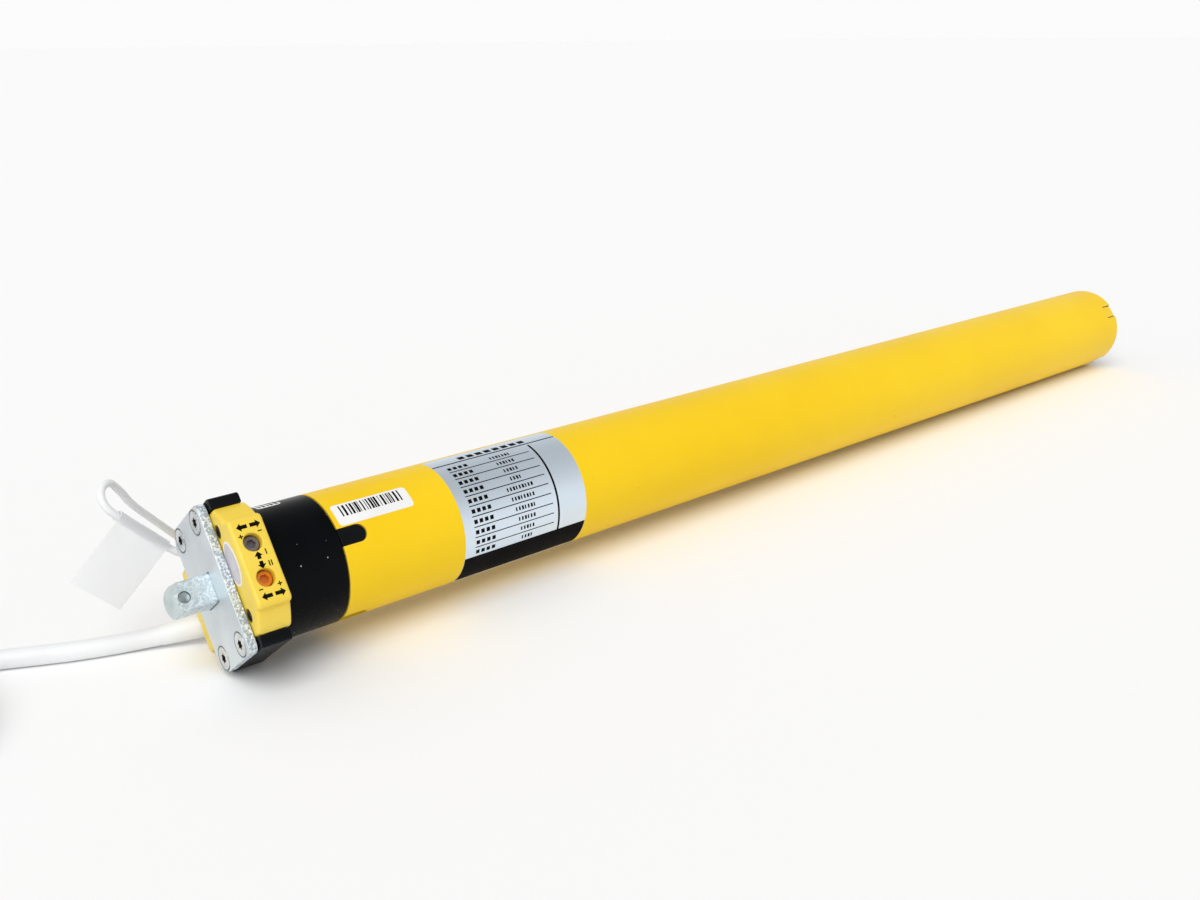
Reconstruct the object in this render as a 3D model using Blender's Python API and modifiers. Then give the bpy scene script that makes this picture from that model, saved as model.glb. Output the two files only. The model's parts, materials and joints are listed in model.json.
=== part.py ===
"""Tubular roller shutter motor, modelled as an assembly of its separate pieces.

Lengths are in metres. The rigid pieces are modelled in the motor's own frame: Z runs along the tube,
from its head end at zero towards the output shaft, X along the long side of the mounting plate and
Y out of the face with the limit screws. That frame is then rolled, tilted and lifted, so that the
motor lies on a floor at height zero with world X along the tube. Cords are modelled in a frame that
stands on the floor below the tube's head end.
"""

import math

import bmesh
import bpy
from mathutils import Matrix, Vector

MM = 0.001

# Clearances
SEAT = 0.3 * MM  # between pieces that touch, clip or screw together
RUN_GAP = 0.5 * MM  # between a turning piece and a fixed one, along the axis
TOOL_REACH = 1.0 * MM  # how far a cutting shape runs past the face it cuts

# Fineness of round shapes
ROUND_STEPS = 48
INNER_STEPS = 20  # of round pieces inside the tube
SMALL_STEPS = 12
ARC_STEPS = 4
SHARP_ANGLE = math.radians(35)

# Tube
TUBE_RADIUS = 22.5 * MM
TUBE_WALL = 1.2 * MM
TUBE_LENGTH = 525 * MM
SLOT_COUNT = 4
SLOT_WIDTH = 6.3 * MM
SLOT_LENGTH = 9.7 * MM
KEY_RECESS = 0.4 * MM  # how far a key stops below the tube's surface
TAB_WIDTH = 7.0 * MM
TAB_LENGTH = 9.0 * MM
TAB_SLIT = 0.9 * MM

# Limit ring and the gear that it drives
RING_LENGTH = 22.4 * MM
RING_GEAR_LENGTH = 6.4 * MM
RING_LIP = 1.0 * MM
RING_BEARING_GAP = 0.3 * MM
RING_LAND_RADIUS = 19.2 * MM
LIMIT_MODULE = 1.05 * MM
LIMIT_RING_TEETH = 36
LIMIT_GEAR_TEETH = 12
LIMIT_GEAR_WIDTH = 5.6 * MM
LIMIT_SHAFT_RADIUS = 1.2 * MM
LIMIT_SHAFT_LENGTH = 13.8 * MM

# Teeth of every gear
ADDENDUM = 0.8  # of the module
DEDENDUM = 1.05  # of the module
TOOTH_SHARE = 0.40  # of the pitch that a tooth fills
PRESSURE_ANGLE = math.radians(20)

# Head body
FLANGE_LENGTH = 10.2 * MM
FLANGE_HALF_WIDTH = 25.3 * MM
FLANGE_HALF_HEIGHT = 17.5 * MM
FLANGE_NEAR_CORNER = 1.5 * MM
FLANGE_FAR_CORNER = 4.2 * MM
NECK_WALL = 3.4 * MM
NECK_GEAR_GAP = 0.6 * MM
HEAD_WEB = 3.7 * MM
SLEEVE_LENGTH = 30 * MM
CORE_HALF_WIDTH = 15.8 * MM
CORE_HEIGHT = 19.5 * MM
PASSAGE_RADIUS = 3.0 * MM

# Mounting plate, its screws and the square stub
PLATE_HALF_WIDTH = 25.4 * MM
PLATE_HALF_HEIGHT = 15 * MM
PLATE_THICKNESS = 3.0 * MM
PLATE_NEAR_CORNER = 3.0 * MM
PLATE_FAR_CORNER = 6.0 * MM
PLATE_SCREW_X = 20.8 * MM
PLATE_SCREW_Y = 9.0 * MM
PLATE_SCREW_HEAD_RADIUS = 3.8 * MM
PLATE_SCREW_HEAD_HEIGHT = 1.8 * MM
PLATE_SCREW_RADIUS = 2.0 * MM
PLATE_SCREW_LENGTH = 11.5 * MM
PLATE_SCREW_SOCKET_RADIUS = 1.7 * MM
PLATE_SCREW_SOCKET_DEPTH = 1.4 * MM
STUB_SIDE = 10 * MM
STUB_LENGTH = 13.8 * MM
STUB_NOSE = 1.7 * MM
STUB_EDGE = 1.0 * MM
STUB_BASE_SIDE = 16 * MM
STUB_BASE_THICKNESS = 1.9 * MM
DIMPLE_RADIUS = 2.0 * MM
DIMPLE_DEPTH = 0.8 * MM
DIMPLE_FROM_TIP = 4.1 * MM
DIMPLE_ACROSS = -0.5 * MM

# Covers of the head and their screws
COVER_LENGTH = 11.5 * MM
COVER_HALF_WIDTH = 21.2 * MM
COVER_RADIUS = 27.3 * MM
COVER_SEAT_HEIGHT = 13 * MM
COVER_WALL = 2.4 * MM
COVER_EDGE = 1.2 * MM
BLOCK_HALF_WIDTH = 15 * MM
BLOCK_CORNER = 2.0 * MM
LIMIT_FACE_HEIGHT = 25.6 * MM
CABLE_FACE_HEIGHT = 29.6 * MM
COVER_SCREW_X = 14.2 * MM
COVER_SCREW_Y = 15.6 * MM
COVER_SCREW_HEAD_RADIUS = 2.0 * MM
COVER_SCREW_HEAD_HEIGHT = 1.0 * MM
COVER_SCREW_RADIUS = 0.9 * MM
COVER_SCREW_LENGTH = 6.7 * MM
COVER_SCREW_SUNK = 0.2 * MM
ADJUST_SPACING = 11.8 * MM
ADJUST_FROM_FRONT = 5.7 * MM
ADJUST_HOLE_RADIUS = 3.0 * MM
ADJUST_HEAD_RADIUS = 2.6 * MM
ADJUST_SUNK = 2.2 * MM
ADJUST_SHAFT_RADIUS = 1.2 * MM
ADJUST_SOCKET_RADIUS = 1.6 * MM
ADJUST_SOCKET_DEPTH = 1.6 * MM

# Limit switch unit
UNIT_LENGTH = 45 * MM
UNIT_FLAT_HEIGHT = 9.7 * MM

# Board and capacitor
BOARD_LENGTH = 118 * MM
BOARD_THICKNESS = 1.6 * MM
BOARD_DROP = 6 * MM
RELAY_SIZE = (15 * MM, 14 * MM, 20 * MM)
SUPPLY_SIZE = (24 * MM, 16 * MM, 26 * MM)
TERMINAL_SIZE = (26 * MM, 9 * MM, 10 * MM)
CAPACITOR_RADIUS = 17 * MM
CAPACITOR_LENGTH = 60 * MM
CAPACITOR_EDGE = 1.5 * MM

# Motor
BELL_WALL = 1.0 * MM
BELL_WEB = 4.0 * MM
SOCKET_DEPTH = 8.0 * MM
STATOR_LENGTH = 85 * MM
STATOR_BORE = 11.2 * MM
STATOR_SLOTS = 12
STATOR_SLOT_WIDTH = 3.0 * MM
STATOR_SLOT_DEPTH = 5.5 * MM
WINDING_INNER = 12.5 * MM
WINDING_LENGTH = 8.0 * MM
WINDING_ROUND = 2.0 * MM
AIR_GAP = 0.35 * MM
SHAFT_RADIUS = 4.0 * MM
SHAFT_HOLE_GAP = 1.0 * MM
BEARING_RADIUS = 11 * MM
BEARING_WIDTH = 7.0 * MM

# Brake
BRAKE_HOUSING_LENGTH = 34 * MM
BRAKE_BORE = 16 * MM
BRAKE_DISC_THICKNESS = 4.0 * MM
BRAKE_HUB_RADIUS = 8.0 * MM
BRAKE_HUB_LENGTH = 5.0 * MM
ARMATURE_THICKNESS = 3.0 * MM
ARMATURE_BORE = 6.0 * MM
BRAKE_TRAVEL = 0.6 * MM
SPRING_RADIUS = 10 * MM
SPRING_WIRE = 1.0 * MM
SPRING_TURNS = 3

# Gearbox: three like planet stages in one ring gear
STAGES = 3
PLANETS = 3
GEAR_MODULE = 0.85 * MM
SUN_TEETH = 12
PLANET_TEETH = 15
RING_TEETH = SUN_TEETH + 2 * PLANET_TEETH
PLANET_WIDTH = 16 * MM
PIN_RADIUS = 1.8 * MM
CARRIER_RADIUS = 16 * MM
CARRIER_THICKNESS = 4.0 * MM
STAGE_LEAD = 6.0 * MM  # free length before the first planets

# End cap and output shaft
CAP_LENGTH = 25 * MM
CAP_INSET = 1.5 * MM
CAP_TAB_GAP = 1.5 * MM
OUTPUT_RADIUS = 6.0 * MM
OUTPUT_LENGTH = 22 * MM
OUTPUT_FLAT = 5.0 * MM
OUTPUT_GROOVE_WIDTH = 1.2 * MM
OUTPUT_GROOVE_DEPTH = 0.6 * MM
OUTPUT_GROOVE_FROM_END = 3.0 * MM
BUSH_RADIUS = 9.5 * MM

# Power cord: its outlet on the cable cover, its route on the floor and its coil
CORD_RADIUS = 3.3 * MM
OUTLET_ACROSS = -5.4 * MM
OUTLET_FROM_FRONT = 7.3 * MM
OUTLET_TILT = math.radians(27.8)
OUTLET_SWING = math.radians(20)
COLLAR_RADIUS = 5.2 * MM
COLLAR_OUT = 2.6 * MM
COLLAR_IN = 1.5 * MM
GLAND_RADIUS = 4.1 * MM
GLAND_TIP_RADIUS = 3.55 * MM
GLAND_SEAT = 1.7 * MM
GLAND_REACH = 20 * MM
CORD_ROUTE = [
    (-50.2 * MM, 31.4 * MM, 3.85 * MM),
    (-56.0 * MM, 33.9 * MM, 3.45 * MM),
    (-64.0 * MM, 36.9 * MM, 3.4 * MM),
    (-72.2 * MM, 40.4 * MM, 3.4 * MM),
    (-79.6 * MM, 44.2 * MM, 3.4 * MM),
    (-91.2 * MM, 50.4 * MM, 3.4 * MM),
    (-104.0 * MM, 56.2 * MM, 3.5 * MM),
    (-117.0 * MM, 61.5 * MM, 3.9 * MM),
]
COIL_CENTRE = (-156 * MM, 26 * MM)
COIL_RADIUS = 47.5 * MM
COIL_START = math.radians(68)
COIL_TURNS = 2.75  # of each of the two layers
COIL_GAP = 0.6 * MM
COIL_POINTS = 24  # points a turn
TIE_THICKNESS = 0.6 * MM
TIE_WIDTH = 5.0 * MM
TIE_GAP = 0.45 * MM
FLOOR_GAP = 0.05 * MM
CORE_COUNT = 3
CORE_WIRE_RADIUS = 0.85 * MM
CORE_STEP = 2.0 * MM
CORE_LENGTH = 38 * MM

# Antenna wire and the tag folded round it
ANTENNA_RADIUS = 1.3 * MM
ANTENNA_X = 18.1 * MM
ANTENNA_Y = -17.3 * MM
ANTENNA_SOCKET = 4.0 * MM
ANTENNA_ROUTE = [
    (-35.6 * MM, 24.7 * MM, 33.2 * MM),
    (-38.2 * MM, 24.9 * MM, 34.8 * MM),
    (-41.2 * MM, 25.0 * MM, 37.6 * MM),
    (-46.0 * MM, 25.0 * MM, 42.7 * MM),
    (-50.8 * MM, 25.0 * MM, 47.8 * MM),
    (-55.5 * MM, 25.0 * MM, 52.8 * MM),
    (-58.0 * MM, 26.2 * MM, 56.6 * MM),
    (-57.6 * MM, 29.0 * MM, 60.2 * MM),
    (-54.4 * MM, 32.0 * MM, 61.4 * MM),
    (-50.6 * MM, 34.4 * MM, 57.6 * MM),
    (-46.9 * MM, 35.5 * MM, 51.4 * MM),
    (-41.0 * MM, 36.2 * MM, 44.2 * MM),
    (-33.2 * MM, 37.0 * MM, 35.2 * MM),
    (-24.0 * MM, 38.6 * MM, 24.6 * MM),
    (-15.0 * MM, 40.6 * MM, 14.6 * MM),
    (-5.0 * MM, 43.0 * MM, 6.2 * MM),
    (6.0 * MM, 45.5 * MM, 2.3 * MM),
    (18.0 * MM, 47.0 * MM, 1.45 * MM),
    (30.0 * MM, 47.2 * MM, 1.4 * MM),
]
TAG_START = (-41.3 * MM, 25.0 * MM, 37.7 * MM)
TAG_TOP = (-0.6861, 0.0, 0.7275)
TAG_LENGTH = 20 * MM
TAG_DROP = 24.5 * MM
TAG_THICKNESS = 0.5 * MM
TAG_CURL_ANGLE = math.radians(235)

# Places along the tube's axis, worked out from the sizes above
RING_BACK = -RUN_GAP
RING_FRONT = RING_BACK - RING_LENGTH
COVER_BACK = RING_FRONT - RUN_GAP
COVER_FRONT = COVER_BACK - COVER_LENGTH
FLANGE_BACK = COVER_FRONT + FLANGE_LENGTH
PLATE_BACK = COVER_FRONT - SEAT
PLATE_FRONT = PLATE_BACK - PLATE_THICKNESS
STUB_TIP = PLATE_FRONT - STUB_LENGTH
HEAD_FLOOR = COVER_FRONT + HEAD_WEB
TUBE_BORE = TUBE_RADIUS - TUBE_WALL
TUBE_FIT = TUBE_BORE - SEAT
CAP_START = TUBE_LENGTH - CAP_LENGTH
STAGE_LENGTH = SEAT + PLANET_WIDTH + SEAT + CARRIER_THICKNESS
GEARBOX_END = CAP_START - SEAT
GEARBOX_START = GEARBOX_END - STAGE_LEAD - STAGES * STAGE_LENGTH - SEAT
BRAKE_END = GEARBOX_START - SEAT
BRAKE_START = BRAKE_END - BRAKE_HOUSING_LENGTH
BELL_LENGTH = WINDING_LENGTH + SEAT + BEARING_WIDTH + SEAT + BELL_WEB
REAR_BELL_START = BRAKE_START - SEAT - BELL_LENGTH
STATOR_END = REAR_BELL_START - SEAT
STATOR_START = STATOR_END - STATOR_LENGTH
FRONT_BELL_END = STATOR_START - SEAT
FRONT_BELL_START = FRONT_BELL_END - BELL_LENGTH
CAPACITOR_END = FRONT_BELL_START - SEAT
BOARD_START = SLEEVE_LENGTH + SEAT
PLANET_DISTANCE = GEAR_MODULE * (SUN_TEETH + PLANET_TEETH) / 2
LIMIT_GEAR_DISTANCE = LIMIT_MODULE * (LIMIT_RING_TEETH - LIMIT_GEAR_TEETH) / 2
LIMIT_GEAR_FRONT = RING_FRONT + RUN_GAP
RING_LIP_RADIUS = LIMIT_MODULE * (LIMIT_RING_TEETH / 2 - ADDENDUM) - SEAT
NECK_RADIUS = RING_LIP_RADIUS - NECK_GEAR_GAP
NECK_FRONT = FLANGE_BACK - 2 * TOOL_REACH
HEAD_BORE = RING_LAND_RADIUS - RING_BEARING_GAP - NECK_WALL
CORD_PITCH = 2 * CORD_RADIUS + COIL_GAP

# Colour, roughness and metallic value of each finish
FINISHES = {
    "yellow_paint": ((0.95, 0.62, 0.03), 0.35, 0.0),
    "yellow_plastic": ((0.93, 0.66, 0.11), 0.45, 0.0),
    "black_plastic": ((0.012, 0.013, 0.016), 0.35, 0.0),
    "zinc": ((0.62, 0.65, 0.66), 0.38, 1.0),
    "steel": ((0.45, 0.45, 0.46), 0.35, 1.0),
    "black_steel": ((0.03, 0.03, 0.03), 0.4, 1.0),
    "grey_plastic": ((0.22, 0.18, 0.21), 0.4, 0.0),
    "orange_plastic": ((0.75, 0.22, 0.02), 0.4, 0.0),
    "white_sheath": ((0.85, 0.85, 0.84), 0.45, 0.0),
    "white_film": ((0.9, 0.9, 0.9), 0.5, 0.0),
    "brown_sheath": ((0.16, 0.07, 0.03), 0.45, 0.0),
    "blue_sheath": ((0.03, 0.12, 0.45), 0.45, 0.0),
    "green_sheath": ((0.2, 0.4, 0.05), 0.45, 0.0),
    "board_green": ((0.03, 0.2, 0.06), 0.5, 0.0),
    "cast_alloy": ((0.5, 0.5, 0.52), 0.5, 1.0),
    "laminate": ((0.3, 0.3, 0.32), 0.5, 1.0),
    "copper": ((0.7, 0.28, 0.1), 0.4, 1.0),
    "white_plastic": ((0.75, 0.75, 0.72), 0.5, 0.0),
    "friction": ((0.1, 0.09, 0.08), 0.9, 0.0),
    "brass": ((0.7, 0.5, 0.2), 0.35, 1.0),
}

for leftover in list(bpy.data.objects):
    bpy.data.objects.remove(leftover, do_unlink=True)
PARTS = bpy.data.collections.new("roller_shutter_motor")
CUTTERS = bpy.data.collections.new("cutters")
for group in (PARTS, CUTTERS):
    bpy.context.scene.collection.children.link(group)


# Building helpers


def empty(name, parent=None):
    frame = bpy.data.objects.new(name, None)
    frame.parent = parent
    PARTS.objects.link(frame)
    return frame


def finished(piece, parent, finish, at, turn):
    """Put a piece in the parts' collection under its parent, with a material of its own."""
    PARTS.objects.link(piece)
    piece.parent = parent
    piece.location = at
    piece.rotation_euler = turn
    if finish:
        colour, roughness, metallic = FINISHES[finish]
        material = bpy.data.materials.new(f"{piece.name}_{finish}")
        material.use_nodes = True
        shader = material.node_tree.nodes["Principled BSDF"]
        shader.inputs["Base Color"].default_value = (*colour, 1.0)
        shader.inputs["Roughness"].default_value = roughness
        shader.inputs["Metallic"].default_value = metallic
        piece.data.materials.append(material)
    return piece


def from_bmesh(name, bm, parent, finish, at=(0, 0, 0), turn=(0, 0, 0)):
    mesh = bpy.data.meshes.new(name)
    bm.to_mesh(mesh)
    bm.free()
    mesh.shade_smooth()
    mesh.set_sharp_from_angle(angle=SHARP_ANGLE)
    return finished(bpy.data.objects.new(name, mesh), parent, finish, at, turn)


def turned(name, profile, parent, finish=None, steps=ROUND_STEPS, at=(0, 0, 0), turn=(0, 0, 0)):
    """A turned shape from (radius, height) pairs: down the outer side, then up the bore if it has one."""
    mesh = bpy.data.meshes.new(name)
    edges = [(i, i + 1) for i in range(len(profile) - 1)]
    if profile[0][0] > 0:
        edges.append((len(profile) - 1, 0))
    mesh.from_pydata([(radius, 0, height) for radius, height in profile], edges, [])
    piece = finished(bpy.data.objects.new(name, mesh), parent, finish, at, turn)
    screw = piece.modifiers.new("turn", "SCREW")
    screw.axis = "Z"
    screw.angle = 2 * math.pi
    screw.steps = steps
    screw.render_steps = steps
    screw.use_merge_vertices = True
    screw.merge_threshold = 0.000001
    screw.use_smooth_shade = True
    return piece


def extruded(name, outlines, bottom, top, parent, finish=None, at=(0, 0, 0), turn=(0, 0, 0), edge=0):
    """A flat outline, with any holes, given a thickness along Z and, if asked, rounded edges."""
    curve = bpy.data.curves.new(name, "CURVE")
    curve.dimensions = "2D"
    curve.fill_mode = "BOTH"
    curve.extrude = (top - bottom) / 2
    for outline in outlines:
        spline = curve.splines.new("POLY")
        spline.points.add(len(outline) - 1)
        spline.use_cyclic_u = True
        for point, (x, y) in zip(spline.points, outline):
            point.co = (x, y, 0, 1)
    flat = bpy.data.objects.new(name + "_outline", curve)
    mesh = bpy.data.meshes.new_from_object(flat)
    bpy.data.objects.remove(flat)
    bm = bmesh.new()
    bm.from_mesh(mesh)
    bpy.data.meshes.remove(mesh)
    bmesh.ops.remove_doubles(bm, verts=bm.verts, dist=0.000001)
    bmesh.ops.translate(bm, verts=bm.verts, vec=(0, 0, (top + bottom) / 2))
    bmesh.ops.recalc_face_normals(bm, faces=bm.faces)
    if len(outlines) == 1:
        bmesh.ops.dissolve_limit(bm, angle_limit=0.001, verts=bm.verts, edges=bm.edges)
    piece = from_bmesh(name, bm, parent, finish, at, turn)
    if edge:
        rounding = piece.modifiers.new("edges", "BEVEL")
        rounding.width = edge
        rounding.segments = 2
        rounding.limit_method = "ANGLE"
        rounding.angle_limit = SHARP_ANGLE
    return piece


def boxed(name, low, high, parent, finish=None, at=(0, 0, 0), turn=(0, 0, 0)):
    """A box between two corners."""
    low, high = Vector(low), Vector(high)
    bm = bmesh.new()
    bmesh.ops.create_cube(bm, size=1.0)
    bmesh.ops.scale(bm, verts=bm.verts, vec=high - low)
    bmesh.ops.translate(bm, verts=bm.verts, vec=(high + low) / 2)
    return from_bmesh(name, bm, parent, finish, at, turn)


def rod(name, radius, bottom, top, parent, finish=None, steps=SMALL_STEPS, at=(0, 0, 0), turn=(0, 0, 0)):
    """A plain round bar along Z."""
    bm = bmesh.new()
    bmesh.ops.create_cone(
        bm, cap_ends=True, segments=steps, radius1=radius, radius2=radius, depth=top - bottom
    )
    bmesh.ops.translate(bm, verts=bm.verts, vec=(0, 0, (top + bottom) / 2))
    return from_bmesh(name, bm, parent, finish, at, turn)


def wire(name, points, radius, parent, finish, resolution):
    """A round wire or cord along the given points, with closed ends."""
    curve = bpy.data.curves.new(name, "CURVE")
    curve.dimensions = "3D"
    curve.bevel_depth = radius
    curve.bevel_resolution = resolution
    curve.use_fill_caps = True
    spline = curve.splines.new("POLY")
    spline.points.add(len(points) - 1)
    for point, place in zip(spline.points, points):
        point.co = (*place, 1)
    return finished(bpy.data.objects.new(name, curve), parent, finish, (0, 0, 0), (0, 0, 0))


def apply_tool(piece, tool, operation):
    """Cut a shape out of a piece, or join it on."""
    PARTS.objects.unlink(tool)
    CUTTERS.objects.link(tool)
    tool.hide_render = True
    tool.display_type = "WIRE"
    step = piece.modifiers.new(tool.name, "BOOLEAN")
    step.object = tool
    step.operation = operation
    step.solver = "EXACT"


def cut(piece, tool):
    apply_tool(piece, tool, "DIFFERENCE")


def join(piece, tool):
    apply_tool(piece, tool, "UNION")


def arc(centre, radius, start, end, steps=ARC_STEPS):
    """Points on an arc, both ends included, for angles in degrees."""
    points = []
    for i in range(steps + 1):
        angle = math.radians(start + (end - start) * i / steps)
        points.append((centre[0] + radius * math.cos(angle), centre[1] + radius * math.sin(angle)))
    return points


def circle(radius, steps=SMALL_STEPS):
    return arc((0, 0), radius, 0, 360, steps)[:-1]


def rounded_rectangle(half_width, half_height, near, far):
    """A rectangle whose two corners towards +Y have one radius, and the two towards -Y another."""
    return (
        arc((half_width - near, half_height - near), near, 0, 90)
        + arc((near - half_width, half_height - near), near, 90, 180)
        + arc((far - half_width, far - half_height), far, 180, 270)
        + arc((half_width - far, far - half_height), far, 270, 360)
    )


def gear_outline(teeth, module, inside=False, half_pitch=False):
    """Straight-flanked teeth round a pitch circle; an inside gear's teeth point to the axis."""
    pitch_radius = teeth * module / 2
    half_tooth = TOOTH_SHARE * math.pi * module / 2
    slope = math.tan(PRESSURE_ANGLE)
    sign = -1 if inside else 1
    tip, root = pitch_radius + sign * ADDENDUM * module, pitch_radius - sign * DEDENDUM * module
    tip_angle = (half_tooth - slope * ADDENDUM * module) / tip
    root_angle = (half_tooth + slope * DEDENDUM * module) / root
    points = []
    for tooth in range(teeth):
        middle = 2 * math.pi * (tooth + 0.5 * half_pitch) / teeth
        for radius, angle in ((root, -root_angle), (tip, -tip_angle), (tip, tip_angle), (root, root_angle)):
            points.append((radius * math.cos(middle + angle), radius * math.sin(middle + angle)))
    return points


def smooth(points, steps):
    """A smooth curve through the given points, read at even steps between them."""
    points = [Vector(p) for p in points]
    ends = [2 * points[0] - points[1], *points, 2 * points[-1] - points[-2]]
    curve = []
    for a, b, c, d in zip(ends, ends[1:], ends[2:], ends[3:]):
        for i in range(steps):
            t = i / steps
            curve.append(
                b
                + 0.5 * (c - a) * t
                + 0.5 * (2 * a - 5 * b + 4 * c - d) * t**2
                + 0.5 * (3 * b - a - 3 * c + d) * t**3
            )
    return [*curve, points[-1]]


def length_of(points):
    return sum((Vector(b) - Vector(a)).length for a, b in zip(points, points[1:]))


# How the motor lies on the floor


def rest_roll_and_depth():
    """The roll at which the flange's far corner and the cable cover's corner both touch the floor."""
    flange_x, flange_y = FLANGE_FAR_CORNER - FLANGE_HALF_WIDTH, FLANGE_FAR_CORNER - FLANGE_HALF_HEIGHT
    cover_x, cover_y = BLOCK_CORNER - BLOCK_HALF_WIDTH, BLOCK_CORNER - CABLE_FACE_HEIGHT
    across, up = flange_x - cover_x, flange_y - cover_y
    lean = math.asin((FLANGE_FAR_CORNER - BLOCK_CORNER) / math.hypot(across, up))
    roll = math.pi - lean - math.atan2(up, across)
    depth = FLANGE_FAR_CORNER - math.sin(roll) * flange_x - math.cos(roll) * flange_y
    return roll, depth


ROLL, REST_DEPTH = rest_roll_and_depth()
TILT = math.atan2(REST_DEPTH - TUBE_RADIUS, TUBE_LENGTH - FLANGE_BACK)
AXIS_HEIGHT = REST_DEPTH * math.cos(TILT) + FLANGE_BACK * math.sin(TILT)
AXES = Matrix(((0, 0, 1), (1, 0, 0), (0, 1, 0))).to_4x4()
LEAN = Matrix.Rotation(TILT, 4, "Y") @ Matrix.Rotation(ROLL, 4, "X") @ AXES
LYING = Matrix.Translation((0, 0, AXIS_HEIGHT)) @ LEAN

FLOOR = empty("floor_below_head")
MOTOR = empty("motor_axis", FLOOR)
MOTOR.matrix_local = LYING


def on_floor(point):
    """A point of the motor's frame, seen from the floor below the head end."""
    return LYING @ Vector(point)


# Tube and limit ring


def slot_outline(width, start, end):
    """A slot along Y with a round far end."""
    half = width / 2
    return [(-half, start), (half, start)] + arc((0, end - half), half, 0, 180, 2 * ARC_STEPS)


def facing_out(step):
    """Turns a flat outline so that its Y runs along the tube and its thickness points out of the tube."""
    return (math.pi / 2, 0, math.pi + 2 * math.pi * step / SLOT_COUNT)


def motor_tube():
    tube = turned(
        "motor_tube",
        [(TUBE_RADIUS, TUBE_LENGTH), (TUBE_RADIUS, 0), (TUBE_BORE, 0), (TUBE_BORE, TUBE_LENGTH)],
        MOTOR,
        "yellow_paint",
    )
    for i in range(SLOT_COUNT):
        outline = slot_outline(SLOT_WIDTH, -TOOL_REACH, SLOT_LENGTH)
        turn = facing_out(i)
        cut(tube, extruded(f"tube_slot_{i}", [outline], TUBE_RADIUS / 2, 2 * TUBE_RADIUS, MOTOR, turn=turn))
        for side in (-1, 1):
            middle = side * TAB_WIDTH / 2
            slit = boxed(
                f"tab_slit_{i}_{side}",
                (middle - TAB_SLIT / 2, TUBE_LENGTH - TAB_LENGTH, TUBE_RADIUS / 2),
                (middle + TAB_SLIT / 2, TUBE_LENGTH + TOOL_REACH, 2 * TUBE_RADIUS),
                MOTOR,
                turn=turn,
            )
            cut(tube, slit)


def limit_ring():
    gear_back = RING_FRONT + RING_GEAR_LENGTH
    ring = turned(
        "limit_ring",
        [
            (TUBE_RADIUS, RING_BACK),
            (TUBE_RADIUS, RING_FRONT),
            (RING_LIP_RADIUS, RING_FRONT),
            (RING_LIP_RADIUS, gear_back + RING_LIP),
            (RING_LAND_RADIUS, gear_back + RING_LIP),
            (RING_LAND_RADIUS, RING_BACK),
        ],
        MOTOR,
        "black_plastic",
    )
    teeth = gear_outline(LIMIT_RING_TEETH, LIMIT_MODULE, inside=True, half_pitch=True)
    cut(ring, extruded("ring_tooth_space", [teeth], RING_FRONT - TOOL_REACH, gear_back, MOTOR))


# Head


def at_limit_gear():
    return (-LIMIT_GEAR_DISTANCE, 0, 0)


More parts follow.
